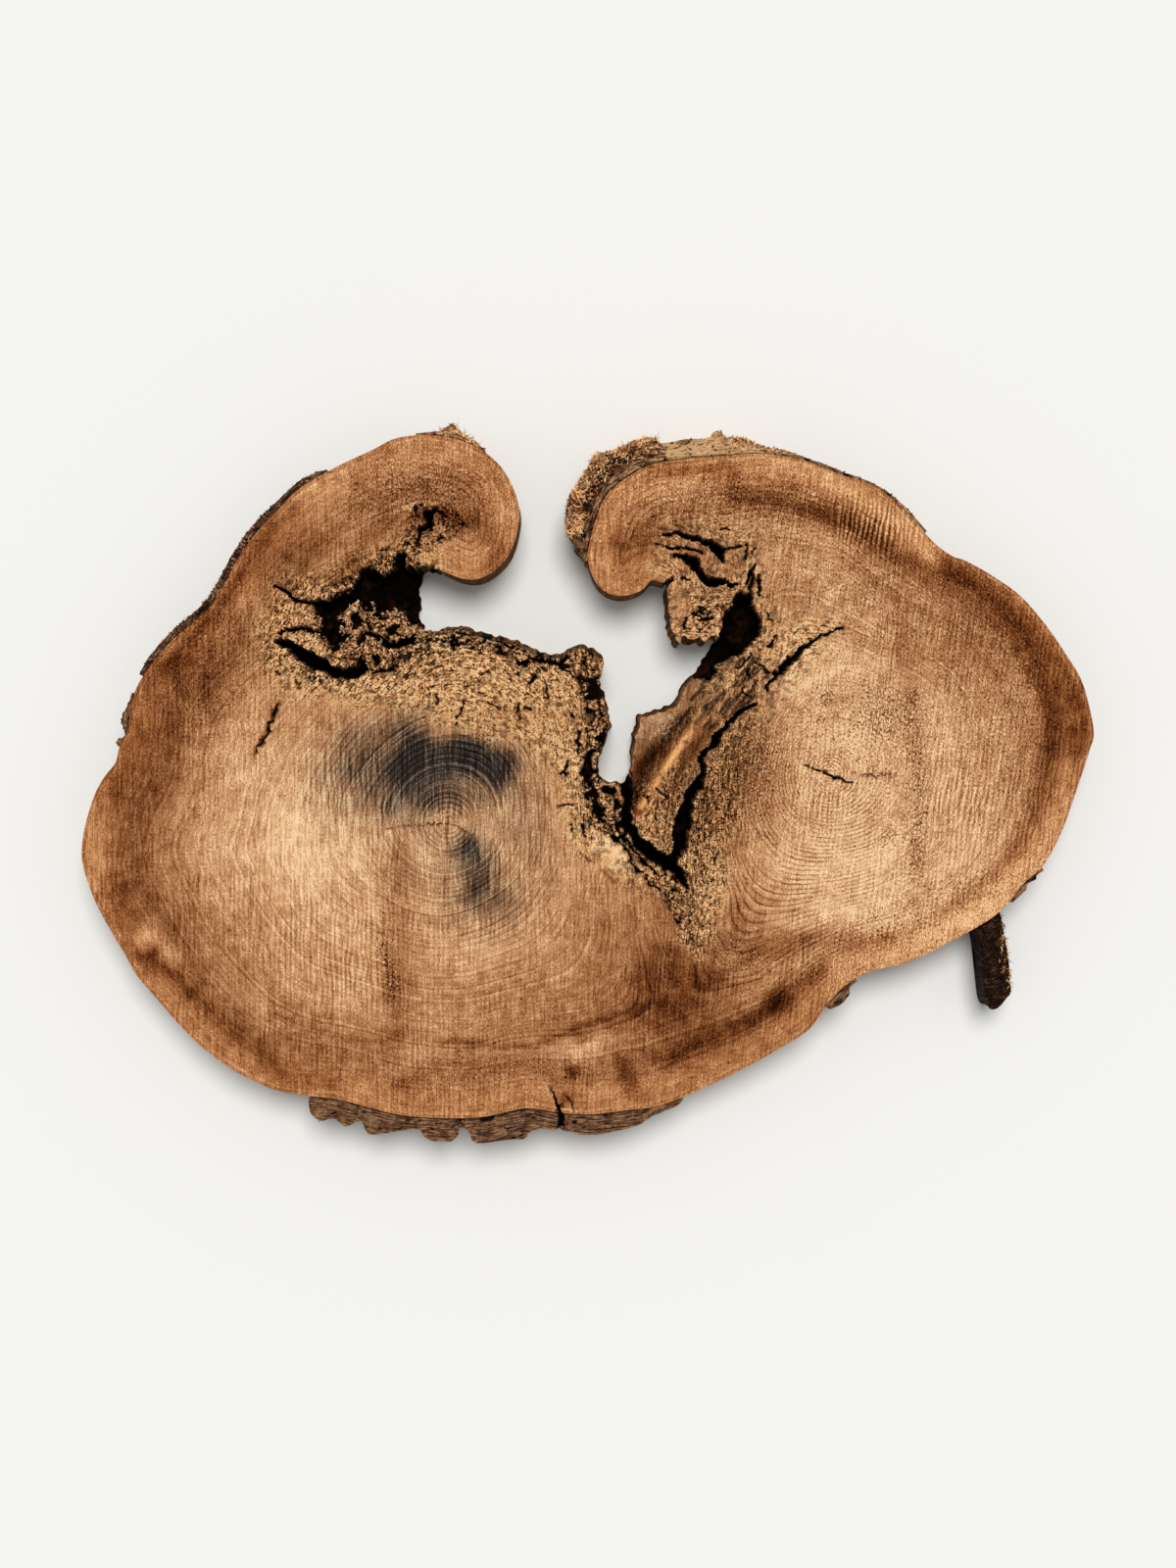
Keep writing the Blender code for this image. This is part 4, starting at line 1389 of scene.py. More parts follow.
def paint(*colour: float) -> tuple[float, ...]:
    """Turn a colour as seen on a screen, 0 to 255, into the shader's linear colour."""
    shares = [value / 255.0 for value in colour]
    return (*[s / 12.92 if s <= 0.04045 else ((s + 0.055) / 1.055) ** 2.4 for s in shares], 1.0)


class NodeGraph:
    """A tree of nodes that are added and linked in one go."""

    def __init__(self, tree: bpy.types.NodeTree) -> None:
        """Take over a tree."""
        self.tree = tree

    def feed(self, socket: Socket, value: Feed) -> None:
        """Link a socket to another one, or set it to a value.

        Args:
            socket: The input that is fed.
            value: What it is fed with.
        """
        if isinstance(value, Socket):
            self.tree.links.new(value, socket)
        else:
            socket.default_value = value

    def node(self, kind: str, feeds: dict[str | int, Feed], **settings: object) -> bpy.types.Node:
        """Add a node.

        Args:
            kind: Blender's name for the type of node.
            feeds: What its inputs are fed with, by name or number.
            settings: Properties of the node.

        Returns:
            The new node.
        """
        node = self.tree.nodes.new(kind)
        for name, value in settings.items():
            setattr(node, name, value)
        for key, value in feeds.items():
            named = [socket for socket in node.inputs if socket.name == key]
            usable = max(named, key=lambda socket: socket.enabled, default=None)
            self.feed(node.inputs[key] if isinstance(key, int) else usable, value)
        return node

    def made(self, kind: str, feeds: dict, output: int | str = 0, **settings: object) -> Socket:
        """Add a node as node() does, and return one of its outputs."""
        return self.node(kind, feeds, **settings).outputs[output]

    def math(self, operation: str, *values: Feed) -> Socket:
        """Combine numbers with one operation."""
        return self.made("ShaderNodeMath", dict(enumerate(values)), operation=operation)

    def times(self, *factors: Feed) -> Socket:
        """Multiply numbers."""
        return reduce(lambda product, factor: self.math("MULTIPLY", product, factor), factors)

    def vector(self, *axes: Feed) -> Socket:
        """Join three numbers to a vector."""
        return self.made("ShaderNodeCombineXYZ", dict(enumerate(axes)))

    def vectors(self, operation: str, feeds: dict[str | int, Feed]) -> Socket:
        """Combine vectors with one operation."""
        return self.made("ShaderNodeVectorMath", feeds, operation=operation)


class FinishNodes(NodeGraph):
    """The nodes of one material."""

    def __init__(self, name: str) -> None:
        """Start a material with only its shader and its output.

        Args:
            name: The material's name.
        """
        self.material = bpy.data.materials.new(name)
        self.material.use_nodes = True
        super().__init__(self.material.node_tree)
        self.shader = self.tree.nodes["Principled BSDF"]
        self.place = self.made("ShaderNodeTexCoord", {}, "Object")

    def dress(self, colour: Feed, roughness: Feed, gloss: float) -> Material:
        """Set the shader's inputs.

        Args:
            colour: Its base colour.
            roughness: Its roughness.
            gloss: Its level of mirror-like light.

        Returns:
            The material.
        """
        feeds = {"Base Color": colour, "Roughness": roughness, "Specular IOR Level": gloss,
                 "Metallic": 0.0}
        for name, value in feeds.items():
            self.feed(self.shader.inputs[name], value)
        return self.material

    def bump(self, height: Socket, distance: float, strength: float) -> None:
        """Roughen the shader's normals with a height."""
        feeds = {"Strength": strength, "Distance": distance, "Height": height}
        self.feed(self.shader.inputs["Normal"], self.made("ShaderNodeBump", feeds))

    def value(self, name: str) -> Socket:
        """Read a number that is stored on the mesh."""
        return self.made("ShaderNodeAttribute", {}, "Fac", attribute_name=name)

    def total(self, *parts: tuple[Socket, float]) -> Socket:
        """Add up sockets, each times its factor."""
        return reduce(lambda total, part: self.math("MULTIPLY_ADD", *part, total), parts, 0.0)

    def wave(self, turns: Socket) -> Socket:
        """Swing between -1 and 1, once for each whole number."""
        return self.math("SINE", self.times(turns, FULL_TURN))

    def span(
        self, value: Socket, low: float, high: float, start: float = 0.0, end: float = 1.0
    ) -> Socket:
        """Ease a number from start to end while it goes from low to high."""
        feeds = dict(enumerate((value, low, high, start, end)))
        return self.made("ShaderNodeMapRange", feeds, interpolation_type="SMOOTHSTEP")

    def axes(self, vector: Socket) -> list[Socket]:
        """Split a vector into its three numbers."""
        return list(self.node("ShaderNodeSeparateXYZ", {0: vector}).outputs)

    def along_rings(self, number: Socket, across: float, along: float) -> Socket:
        """Return the place on the piece, stretched along the rings."""
        x, y, _ = self.axes(self.place)
        return self.vector(self.times(number, across), self.times(x, along), self.times(y, along))

    def noise(
        self, vector: Socket, scale: float = 1.0, detail: float = 2.0, roughness: float = 0.55
    ) -> Socket:
        """Return noise from 0 to 1 over a vector."""
        feeds = {"Vector": vector, "Scale": scale, "Detail": detail, "Roughness": roughness}
        return self.made("ShaderNodeTexNoise", feeds)

    def grain(
        self, scale: Triple, detail: float = 2.0, roughness: float = 0.55, turn: float = 0.0
    ) -> Socket:
        """Return noise with a fineness for each axis, after a turn in plan."""
        feeds = {"Vector": self.place, "Rotation": (0.0, 0.0, turn), "Scale": scale}
        return self.noise(self.made("ShaderNodeMapping", feeds), 1.0, detail, roughness)

    def line_noise(self, value: Socket, scale: float, detail: float = 1.0) -> Socket:
        """Return noise from 0 to 1 along one number."""
        feeds = {"W": value, "Scale": scale, "Detail": detail}
        return self.made("ShaderNodeTexNoise", feeds, noise_dimensions="1D")

    def ramp(self, value: Socket, stops: Stops) -> Socket:
        """Turn a number into a colour.

        Args:
            value: The number.
            stops: Numbers with the screen colours that they turn into.

        Returns:
            The colour.
        """
        node = self.node("ShaderNodeValToRGB", {0: value})
        elements = node.color_ramp.elements
        while len(elements) < len(stops):
            elements.new(0.5)
        for element, (position, colour) in zip(elements, stops):
            element.position = position
            element.color = paint(*colour)
        return node.outputs[0]

    def mix(self, share: Feed, first: Feed, second: Feed, blend: str = "MIX") -> Socket:
        """Mix two colours."""
        feeds = {0: share, 6: first, 7: second}
        return self.made("ShaderNodeMix", feeds, 2, data_type="RGBA", blend_type=blend)


@dataclass(frozen=True)
class WalnutFinish:
    """Rough-sawn walnut: rings, saw marks, pores, stains and rot on the faces and edges, with
    painted shade in its pits, cracks and rotten gap, and painted highlights on the tongue's crest
    and on lit crumbs.
    """

    name: str = "rough_sawn_walnut"
    ring_count: float = 56.0
    saw_pitch: float = 5.2
    stops: Stops = (
        (0.0, (20, 8, 3)), (0.2, (74, 32, 9)), (0.4, (126, 73, 38)), (0.6, (173, 117, 75)),
        (0.8, (217, 164, 119)), (1.0, (255, 218, 170)),
    )
    # The near-black and cream ends stand partly for painted micro-shade and highlights on the
    # rough rot, partly for its own colour
    rot_stops: Stops = (
        (0.0, (16, 7, 3)), (0.25, (88, 46, 20)), (0.5, (166, 108, 64)), (0.7, (222, 162, 106)),
        (1.0, (255, 216, 160)),
    )
    ink_stops: Stops = ((0.1, (17, 14, 13)), (0.5, (50, 41, 36)), (0.9, (120, 103, 90)))
    wall_stops: Stops = ((0.25, (58, 36, 24)), (0.5, (112, 74, 48)), (0.75, (160, 116, 78)))
    # Near-black colour of the painted shade in pits, cracks and the rotten gap
    painted_pit_shade_stops: Stops = ((0.5, (9, 5, 3)), (0.72, (48, 22, 9)))
    # Golden tint of the sapwood and the rot, also the colour of the painted highlight on the
    # tongue's crest
    gold: Colour = (250, 206, 126)
    # Near-black of the rot's dark lines and of the painted shade in its fine cracks and holes
    rot_line_and_pit_black: Colour = (16, 7, 3)
    # Pale colour of the painted highlight on lit crumbs and slopes
    painted_highlight: Colour = (244, 224, 180)
    pattern_mean: float = 1.23

    def rings(self, n: FinishNodes) -> tuple[Socket, Socket]:
        """Draw the growth rings.

        Args:
            n: The finish's nodes.

        Returns:
            The ring number at each place, and the ring pattern round 0.5.
        """
        drift = n.noise(n.place, 13.0, 1.0)
        jitter = n.noise(n.place, 150.0, 1.0)
        number = n.total((n.value("ring"), self.ring_count), (drift, 1.3), (jitter, 0.22))
        bands = n.line_noise(number, 2.1, 2.0)
        broad = n.line_noise(number, 0.17)
        broken = n.span(n.noise(n.place, 34.0), 0.36, 0.6, 0.25, 1.0)
        lines = n.times(n.span(n.wave(number), 0.3, 1.0), n.value("grown"), broken)
        bright = n.times(n.span(n.line_noise(number, 1.3), 0.60, 0.72), broken)
        return number, n.total((bands, 0.55), (broad, 0.45), (bright, 0.13), (lines, -0.6))

    def saw_marks(self, n: FinishNodes) -> Socket:
        """Draw the near-upright marks of the saw. Their light and dark stripes are partly painted
        light and shade on the saw's ridges and partly the marks' own tone; they also go into the
        bump.

        Args:
            n: The finish's nodes.

        Returns:
            The marks, round 0.5.
        """
        x, y, _ = n.axes(n.place)
        across = n.math("MULTIPLY_ADD", n.span(x, -0.05, 0.2, 0.0, -0.13), y, x)
        wobble = n.grain((60.0, 26.0, 1.0))
        wave = n.wave(n.total((across, 1000.0 / self.saw_pitch), (wobble, 2.2)))
        swayed = n.total((across, 560.0), (n.noise(n.place, 70.0, 1.0), 2.2))
        streaks = n.noise(n.vector(swayed, n.times(y, 24.0), 0.0), roughness=0.6)
        patches = n.noise(n.place, 22.0)
        depth = n.math("MULTIPLY_ADD", n.value("ladder"), 0.55,
                       n.span(patches, 0.35, 0.7, 0.02, 0.12))
        scratches = n.span(n.grain((760.0, 17.0, 1.0), 1.0, turn=-0.04), 0.64, 0.74)
        scratches = n.times(scratches, n.span(patches, 0.42, 0.62, 0.15, 1.0))
        return n.total((n.times(wave, depth), 1.3), (streaks, 1.15), (scratches, -0.7))

    def rot_grain(self, n: FinishNodes, number: Socket) -> tuple[Socket, Socket]:
        """Draw the rot.

        Args:
            n: The finish's nodes.
            number: The ring number at each place.

        Returns:
            Its crumbly grain, round 0.5, and the black dashes and holes in it, which are partly
            dark lines of the rot and partly painted shade in its fine cracks and holes.
        """
        flow = n.noise(n.along_rings(number, 3.6, 150.0), roughness=0.6)
        grit = n.grain((520.0, 560.0, 300.0), roughness=0.7)
        rot_lines_and_pit_shade = n.noise(n.along_rings(number, 2.6, 105.0), roughness=0.6)
        holes = n.grain((300.0, 270.0, 100.0), roughness=0.65)
        eaten = n.math("MULTIPLY_ADD", n.value("eaten"), -0.07, 0.622)
        rot_lines_and_pit_shade = n.span(n.math("SUBTRACT", rot_lines_and_pit_shade, eaten), 0.0, 0.025)
        holes = n.span(n.math("MULTIPLY_ADD", n.value("eaten"), 0.05, holes), 0.645, 0.67)
        return n.total((flow, 0.40), (grit, 0.60)), n.math("MAXIMUM", rot_lines_and_pit_shade, holes)

    def stain(self, n: FinishNodes, rings: Socket, saw: Socket, speck: Socket,
              wood: Socket) -> Socket:
        """Stain the wood blue-black.

        Args:
            n: The finish's nodes.
            rings: The ring pattern.
            saw: The saw's marks.
            speck: Fine specks.
            wood: The wood's colour.

        Returns:
            The colour with its stain.
        """
        veins = n.total((rings, -0.60), (saw, -0.50), (speck, -0.3), (n.noise(n.place, 30.0), 0.4))
        stained = n.math("ADD", n.value("ink"), n.math("ADD", veins, 0.475))
        stained = n.times(n.span(stained, -0.10, 1.00), n.span(n.value("ink"), 0.0, 0.2))
        smoke = n.total((rings, 1.2), (saw, 1.0), (speck, 1.0))
        return n.mix(stained, wood, n.ramp(n.math("SUBTRACT", smoke, 1.16), self.ink_stops))

    def material(self) -> Material:
        """Build the finish.

        Returns:
            The material.
        """
        n = FinishNodes(self.name)
        number, rings = self.rings(n)
        saw = self.saw_marks(n)
        dashes = n.noise(n.along_rings(number, 0.9, 95.0), 1.0, 3.0, 0.6)
        speck = n.grain((820.0, 400.0, 500.0), roughness=0.65)
        dots = n.grain((520.0, 400.0, 400.0), 1.0, 0.5)
        crowd = n.math("MULTIPLY_ADD", n.value("pores"), -0.16, 0.70)
        pores = n.span(n.math("SUBTRACT", dots, crowd), 0.0, 0.07)
        mottle = n.noise(n.place, 75.0, 3.0)
        coarse = n.times(n.math("SUBTRACT", speck, 0.5), n.value("pores"))
        tone = n.total(
            (n.value("tone"), 1.0), (rings, 0.46), (saw, 0.42), (speck, 0.86), (mottle, 0.40),
            (dashes, 0.34), (pores, -0.36), (coarse, 2.0),
        )
        tone = n.math("SUBTRACT", tone, self.pattern_mean)
        # Golden tint, with the painted highlight along the tongue's crest
        wood = n.mix(n.times(n.value("gold"), 0.6), n.ramp(tone, self.stops),
                     paint(*self.gold), "MULTIPLY")
        wood = self.stain(n, rings, saw, speck, wood)
        rot = n.value("rot")
        crumbs, rot_lines_and_pit_shade = self.rot_grain(n, number)
        # Crumbly rot grain with strong contrast: partly its own colour, partly painted micro-shade
        # and highlights
        grit = n.total((crumbs, 4.6), (dashes, 0.5), (n.value("tone"), 1.0), (saw, 0.5))
        rotten = n.ramp(n.math("SUBTRACT", grit, 2.75), self.rot_stops)
        rotten = n.mix(rot_lines_and_pit_shade, rotten, paint(*self.rot_line_and_pit_black))
        wood = n.mix(n.times(rot, 0.95), wood, rotten)
        # Painted highlight: the crumbly grain's tops go pale where the highlight spots lie
        painted_highlight_share = n.times(n.value("painted_highlight"), n.span(crumbs, 0.48, 0.62))
        wood = n.mix(painted_highlight_share, wood, paint(*self.painted_highlight))
        wall = n.ramp(n.grain((160.0, 160.0, 18.0), 4.0, 0.65), self.wall_stops)
        wood = n.mix(n.value("side"), wood, n.mix(n.times(rot, 0.9), wall, rotten))
        # Painted shade: where the mesh's dark number is high the colour goes near-black
        painted_pit_shade = n.ramp(n.noise(n.place, 90.0, 3.0), self.painted_pit_shade_stops)
        wood = n.mix(n.value("dark"), wood, painted_pit_shade)
        n.bump(n.total(
            (saw, 0.2), (rings, 0.1), (pores, -0.4), (speck, 0.6),
            (n.times(rot, crumbs), 2.0), (n.times(rot, rot_lines_and_pit_shade), -0.8),
        ), 0.0012, 0.55)
        return n.dress(wood, n.span(speck, 0.3, 0.7, 0.72, 0.9), 0.02)


@dataclass(frozen=True)
class BarkFinish:
    """Bark: furrows darkened with painted shade, fibres along the trunk and layers that show where
    it is sawn.
    """

    name: str
    dark: Colour
    middle: Colour
    light: Colour
    fibre: float = 0.5
    layer_pitch: float = 1.5
    slit: Colour = (14, 8, 6)
    # Near-black of the painted shade in the furrows and the seam next to the wood
    painted_furrow_shade: Colour = (12, 7, 5)

    def material(self) -> Material:
        """Build the finish.

        Returns:
            The material.
        """
        n = FinishNodes(self.name)
        fibres = n.grain((330.0, 330.0, 22.0), 4.0, 0.7)
        flakes = n.noise(n.place, 150.0, 3.0, 0.65)
        run, layer = n.value("run"), n.value("layer")
        sway = n.noise(n.place, 60.0)
        depth = n.total((layer, 1000.0 / self.layer_pitch), (sway, 2.5))
        layers = n.noise(n.vector(n.times(run, 48.0), depth, 0.0), 1.0, 3.0, 0.7)
        depth = n.total((layer, 520.0 / self.layer_pitch), (sway, 3.0))
        slits = n.noise(n.vector(n.times(run, 70.0), depth, 7.0), roughness=0.6)
        # The pale number lightens or darkens the bark: its tones, and painted shade on some strips
        shade = n.total(
            (fibres, self.fibre), (flakes, 1.1), (layers, 2.5), (n.value("pale"), 1.0),
        )
        shade = n.math("SUBTRACT", shade, 0.5 * (self.fibre + 2.5))
        colour = n.ramp(shade, ((0.12, self.dark), (0.5, self.middle), (0.88, self.light)))
        colour = n.mix(n.span(slits, 0.60, 0.68), colour, paint(*self.slit))
        # Painted shade: the furrows and the seam next to the wood go toward near-black
        colour = n.mix(n.span(n.value("furrow"), 0.3, 1.0), colour, paint(*self.painted_furrow_shade))
        n.bump(n.total((shade, 1.0), (slits, -0.8)), 0.002, 0.8)
        return n.dress(colour, 0.9, 0.1)


FURROWED_BARK = BarkFinish("furrowed_walnut_bark", (30, 15, 9), (110, 72, 50), (184, 138, 100))
FIBROUS_BARK = BarkFinish("fibrous_inner_bark", (32, 17, 10), (146, 98, 66), (240, 190, 138), 0.8)


@dataclass(frozen=True)
class FibreFinish:
    """Torn fibres and crumbs, each in a shade of its own."""

    name: str
    stops: Stops

    def material(self) -> Material:
        """Build the finish.

        Returns:
            The material.
        """
        n = FinishNodes(self.name)
        streaks = n.grain((500.0, 500.0, 260.0), 3.0, 0.65)
        shade = n.total((n.value("tint"), 0.6), (streaks, 0.5), (n.noise(n.place, 56.0), 1.5))
        n.bump(streaks, 0.0006, 0.6)
        return n.dress(n.ramp(n.math("SUBTRACT", shade, 0.65), self.stops), 0.85, 0.15)


TORN_FIBRES = FibreFinish("torn_bark_fibres", (
    (0.0, (12, 6, 4)), (0.28, (86, 45, 27)), (0.52, (180, 114, 68)), (0.78, (255, 206, 146)),
))
DARK_FIBRES = FibreFinish("dark_bark_fibres", (
    (0.0, (16, 9, 6)), (0.4, (58, 36, 26)), (0.7, (112, 78, 56)), (0.95, (170, 128, 92)),
))
ROT_CRUMBS = FibreFinish("rotten_crumbs", (
    (0.0, (22, 11, 6)), (0.3, (126, 78, 46)), (0.6, (210, 156, 110)), (0.9, (255, 222, 174)),
))


class Bit(Enum):
    """The small shapes that grow on torn bark and on rot."""

    FIBRE = "fibre"
    CHIP = "chip"


class GrowthTree(NodeGraph):
    """A Geometry Nodes tree that grows many small bits on a surface."""

    SIZES = {"Density": 20000.0, "Length": 0.009, "Thickness": 0.0006, "Spread": 0.6,
             "Wiggle": 0.002}

    def __init__(self, bit: Bit) -> None:
        """Build the tree for one kind of bit.

        Args:
            bit: The shape that it grows.
        """
        super().__init__(bpy.data.node_groups.new(f"grown_{bit.value}s", "GeometryNodeTree"))
        self.tree.is_modifier = True
        inputs = {"Surface": "Geometry", **{size: "Float" for size in self.SIZES},
                  "Seed": "Int", "Finish": "Material"}
        ports = self.tree.interface
        for name, kind in inputs.items():
            ports.new_socket(name, in_out="INPUT", socket_type=f"NodeSocket{kind}")
        ports.new_socket("Bits", in_out="OUTPUT", socket_type="NodeSocketGeometry")
        for size, usual in self.SIZES.items():
            ports.items_tree[size].default_value = usual
        self.bit = bit
        self.sizes = self.node("NodeGroupInput", {}).outputs
        self.scatter(self.chip() if bit is Bit.CHIP else self.fibre())

    def chance(self, low: float, high: float, salt: int) -> Socket:
        """Return a random number for each bit, from low to high."""
        feeds = {"Min": low, "Max": high, "Seed": self.math("ADD", self.sizes["Seed"], salt)}
        return self.made("FunctionNodeRandomValue", feeds, 1, data_type="FLOAT")

    def slimness(self) -> Socket:
        """Return the bits' thickness as a share of their length."""
        return self.math("DIVIDE", self.sizes["Thickness"], self.sizes["Length"])

    def fibre(self) -> Socket:
        """Shape one fibre.

        Returns:
            A bent fibre of length 1 and radius 1 that runs to a point.
        """
        line = self.made("GeometryNodeCurvePrimitiveBezierSegment", {
            "Resolution": 5, "Start": (0.0, 0.0, -0.15), "Start Handle": (0.3, 0.1, 0.25),
            "End Handle": (0.32, -0.15, 0.6), "End": (-0.12, 0.1, 1.0),
        })
        taper = self.math("SUBTRACT", 1.08, self.made("GeometryNodeSplineParameter", {}, "Factor"))
        ring = self.made("GeometryNodeCurvePrimitiveCircle", {"Resolution": 4, "Radius": 1.0})
        return self.made("GeometryNodeCurveToMesh", {
            "Curve": line, "Profile Curve": ring, "Fill Caps": True,
            "Scale": self.times(taper, self.slimness()),
        })

    def chip(self) -> Socket:
        """Shape one chip.

        Returns:
            An angular chip of length 1.
        """
        ball = self.made("GeometryNodeMeshIcoSphere", {"Radius": 1.0, "Subdivisions": 1}, "Mesh")
        slim = self.slimness()
        return self.made("GeometryNodeTransform", {
            "Geometry": ball, "Scale": self.vector(slim, slim, 0.5),
        })

    def scatter(self, bit: Socket) -> None:
        """Place the bits, bend them and give them their finish.

        Args:
            bit: The shape that is repeated.
        """
        sizes = self.sizes
        thickly, flow = (
            self.made("GeometryNodeInputNamedAttribute", {"Name": name}, "Attribute",
                      data_type=kind)
            for name, kind in (("fringe", "FLOAT"), ("flow", "FLOAT_VECTOR"))
        )
        spots = self.made("GeometryNodeDistributePointsOnFaces", {
            "Mesh": sizes["Surface"], "Seed": sizes["Seed"],
            "Density": self.times(thickly, sizes["Density"]),
        }, "Points")
        tinted = self.made("GeometryNodeStoreNamedAttribute", {
            "Geometry": spots, "Name": "tint", "Value": self.chance(0.0, 1.0, 3),
        }, data_type="FLOAT", domain="POINT")
        stray = self.vectors("SCALE", {
            0: self.vector(*[self.chance(-1.0, 1.0, salt) for salt in (5, 6, 7)]),
            "Scale": sizes["Spread"],
        })
        rotation = self.made("FunctionNodeAlignRotationToVector", {
            "Vector": self.vectors("ADD", {0: flow, 1: stray}),
        }, axis="Z")
        across = [self.times(sizes["Length"], self.chance(0.5, 1.2, salt)) for salt in (11, 12)]
        length = self.times(self.chance(0.25, 1.0, 9), sizes["Length"])
        grown = self.made("GeometryNodeInstanceOnPoints", {
            "Points": tinted, "Instance": bit, "Rotation": rotation,
            "Scale": self.vector(*across, length),
        })
        solid = self.made("GeometryNodeRealizeInstances", {"Geometry": grown})
        swirl = self.made("ShaderNodeTexNoise", {"Scale": 170.0, "Detail": 1.0}, "Color")
        bent = self.vectors("SCALE", {
            0: self.vectors("SUBTRACT", {0: swirl, 1: (0.5, 0.5, 0.5)}),
            "Scale": sizes["Wiggle"],
        })
        solid = self.made("GeometryNodeSetPosition", {"Geometry": solid, "Offset": bent})
        solid = self.made("GeometryNodeSetMaterial", {
            "Geometry": solid, "Material": sizes["Finish"],
        })
        self.node("NodeGroupOutput", {"Bits": solid})

    def grow(self, name: str, surface: Mesh, finish: Material, sizes: dict[str, float]) -> Piece:
        """Grow the bits on a surface and turn them into a plain piece.

        Args:
            name: The piece's name.
            surface: Mesh with a fringe and a flow attribute, which isn't kept.
            finish: Material of the bits.
            sizes: The tree's inputs by name.

        Returns:
            The new piece.
        """
        host = bpy.data.objects.new(f"{name}_host", surface)
        bpy.context.scene.collection.objects.link(host)
        growth = host.modifiers.new("growth", "NODES")
        growth.node_group = self.tree
        sockets = {
            item.name: item.identifier for item in self.tree.interface.items_tree
            if item.in_out == "INPUT"
        }
        for size, value in {**sizes, "Finish": finish}.items():
            growth[sockets[size]] = value
        graph = bpy.context.evaluated_depsgraph_get()
        mesh = bpy.data.meshes.new_from_object(host.evaluated_get(graph))
        mesh.name = name
        host.modifiers.remove(growth)
        bpy.data.objects.remove(host)
        bpy.data.meshes.remove(surface)
        face_outward(mesh)
        if self.bit is Bit.FIBRE:
            mesh.shade_smooth()
        piece = new_piece(name, mesh, finish)
        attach(piece, "root")
        return piece


Trees = dict[Bit, GrowthTree]


